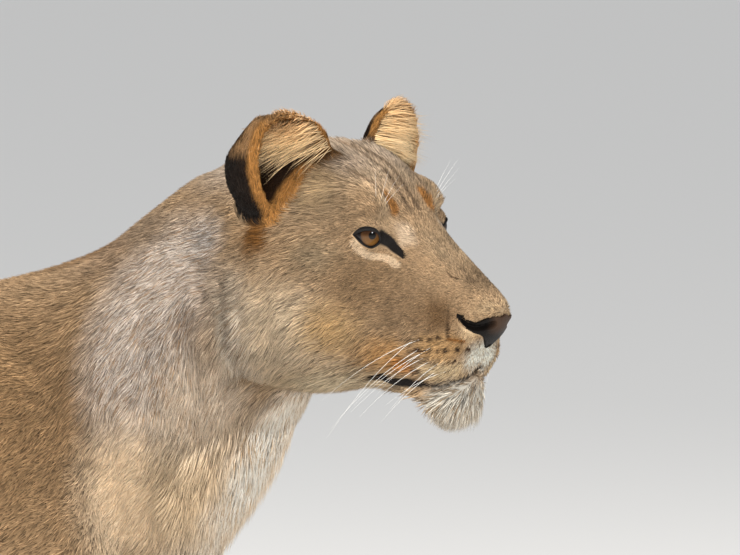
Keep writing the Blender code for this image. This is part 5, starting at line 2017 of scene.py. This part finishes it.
WHISKER_ROOTS = (
    (0.2210, 0.052, -0.0290),
    (0.2290, 0.052, -0.0275),
    (0.2275, 0.052, -0.0385),
    (0.2350, 0.052, -0.0380),
    (0.2430, 0.051, -0.0370),
    (0.2345, 0.051, -0.0460),
    (0.2425, 0.050, -0.0475),
    (0.2490, 0.048, -0.0485),
    (0.2440, 0.043, -0.0590),
    (0.2520, 0.038, -0.0600),
)
WHISKER_RADIUS, WHISKER_SAG = 0.00024, 0.26
WHISKER_WAY = (-0.70, 0.32, -0.44)
WHISKER_STRAY, ROOT_STRAY = 0.10, 0.0010
WHISKER_LENGTHS, REAR_LONGER = (0.045, 0.065), 0.060
BROW_HAIRS, BROW_RADIUS, BROW_SAG = 4, 0.00014, 0.1
BROW_LENGTHS = (0.040, 0.048, 0.045, 0.036)
whisker_finish = Finish("whisker", Roughness=0.3)
whisker_tone = whisker_finish.noise(40.0)
pale_end = whisker_finish.mix(whisker_tone, (0.80, 0.77, 0.70, 1), (0.92, 0.91, 0.88, 1))
whisker_finish.set("Base Color", pale_end)
for side, mirror in SIDES.items():
    starts, ways, lengths = [], [], []
    for root in WHISKER_ROOTS:
        rear = (0.255 - root[0]) / 0.034
        way = np.array(WHISKER_WAY) + whisker_rng.normal(size=3) * WHISKER_STRAY
        starts.append(root + whisker_rng.normal(size=3) * ROOT_STRAY)
        ways.append(way * (1, mirror, 1))
        lengths.append(whisker_rng.uniform(*WHISKER_LENGTHS) + REAR_LONGER * rear)
    starts = surface_at(starts, mirror)
    points, faces = bows(starts, ways, lengths, WHISKER_SAG, WHISKER_RADIUS)
    whiskers = new_object("whiskers_" + side, moved(points, HEAD), faces)
    brow_starts = [(0.165 + 0.006 * k, 0.048 - 0.002 * k, 0.108) for k in range(BROW_HAIRS)]
    brow_ways = [(0.25 + 0.2 * k, (0.35 - 0.1 * k) * mirror, 0.9) for k in range(BROW_HAIRS)]
    brow_starts = surface_at(brow_starts, mirror)
    more, more_faces = bows(brow_starts, np.array(brow_ways), BROW_LENGTHS, BROW_SAG, BROW_RADIUS)
    brows = new_object("brow_hairs_" + side, moved(more, HEAD), more_faces)
    for piece in (whiskers, brows):
        edit_all(piece, bpy.ops.mesh.normals_make_consistent, inside=False)
        piece.data.shade_smooth()
        wear(piece, whisker_finish)
        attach(piece, "root")
print("whiskers:", len(lengths), "on each side")

# %% [markdown]
# She stands on a plain pale floor in soft studio light. The camera looks from her right front
# side, six degrees above the level of her head, with a long lens.

# %% Floor, light and camera
bpy.ops.mesh.primitive_plane_add(size=120.0)
floor = bpy.context.active_object
floor.name = "floor"
pale = Finish("pale_floor", Base_Color=(0.74, 0.72, 0.69, 1), Roughness=0.9, Specular_IOR_Level=0.1)
wear(floor, pale)

world = bpy.data.worlds.new("studio")
world.use_nodes = True
world.node_tree.nodes["Background"].inputs["Color"].default_value = (0.93, 0.96, 1.0, 1)
world.node_tree.nodes["Background"].inputs["Strength"].default_value = 0.80
world.cycles_visibility.glossy = False  # wet places mirror the small light, not the room
bpy.context.scene.world = world
bpy.context.scene.view_settings.view_transform = "Standard"  # shows her colours as they are

VIEW_AZIMUTH, VIEW_ELEVATION = radians(25), radians(6)
LENS, SENSOR = 300.0, 36.0
VIEW_WIDTH = 0.771  # what the camera takes in, at her head
OFF_CENTRE = (0.0984, 0.0170)  # from the head's start to the middle of the view
LARGE = 1.0  # size of light from which wet places don't mirror it
# Each light: its name, azimuth, elevation, distance, size, power and colour.
LIGHTS = (
    ("key_light", -28, 38, 5.0, 2.6, 330, (1.0, 0.97, 0.92)),
    ("front_light", 28, 12, 5.5, 4.0, 160, (1.0, 0.98, 0.95)),
    ("fill_light", 85, 20, 5.0, 3.0, 45, (0.95, 0.97, 1.0)),
    ("catch_light", 76, 14, 5.0, 0.5, 50, (1.0, 1.0, 1.0)),
    ("rim_light", 185, 40, 4.5, 2.5, 60, (1.0, 0.98, 0.95)),
)


def from_angles(azimuth, elevation):
    level = cos(elevation)
    return Vector((sin(azimuth) * level, -cos(azimuth) * level, sin(elevation)))


def studio_light(name, azimuth, elevation, distance, size, power, colour):
    """A square soft light that faces her head."""
    there = HEAD.translation + from_angles(radians(azimuth), radians(elevation)) * distance
    bpy.ops.object.light_add(type="AREA", location=there)
    light = bpy.context.active_object
    light.name = name
    light.data.size = size
    light.data.energy = power
    light.data.color = colour
    light.rotation_euler = (there - HEAD.translation).to_track_quat("Z", "Y").to_euler()
    light.visible_glossy = size < LARGE  # the large ones would fill her eyes with reflections


for light in LIGHTS:
    studio_light(*light)

back = from_angles(VIEW_AZIMUTH, VIEW_ELEVATION)
right = Vector((cos(VIEW_AZIMUTH), sin(VIEW_AZIMUTH), 0))
target = HEAD.translation + right * OFF_CENTRE[0] + back.cross(right) * OFF_CENTRE[1]
bpy.ops.object.camera_add(location=target + back * (VIEW_WIDTH * LENS / SENSOR))
camera = bpy.context.active_object
camera.name = "camera"
camera.data.lens = LENS
camera.data.sensor_width = SENSOR
camera.rotation_euler = back.to_track_quat("Z", "Y").to_euler()
bpy.context.scene.camera = camera
print("camera", round((camera.location - target).length, 2), "m from her head")
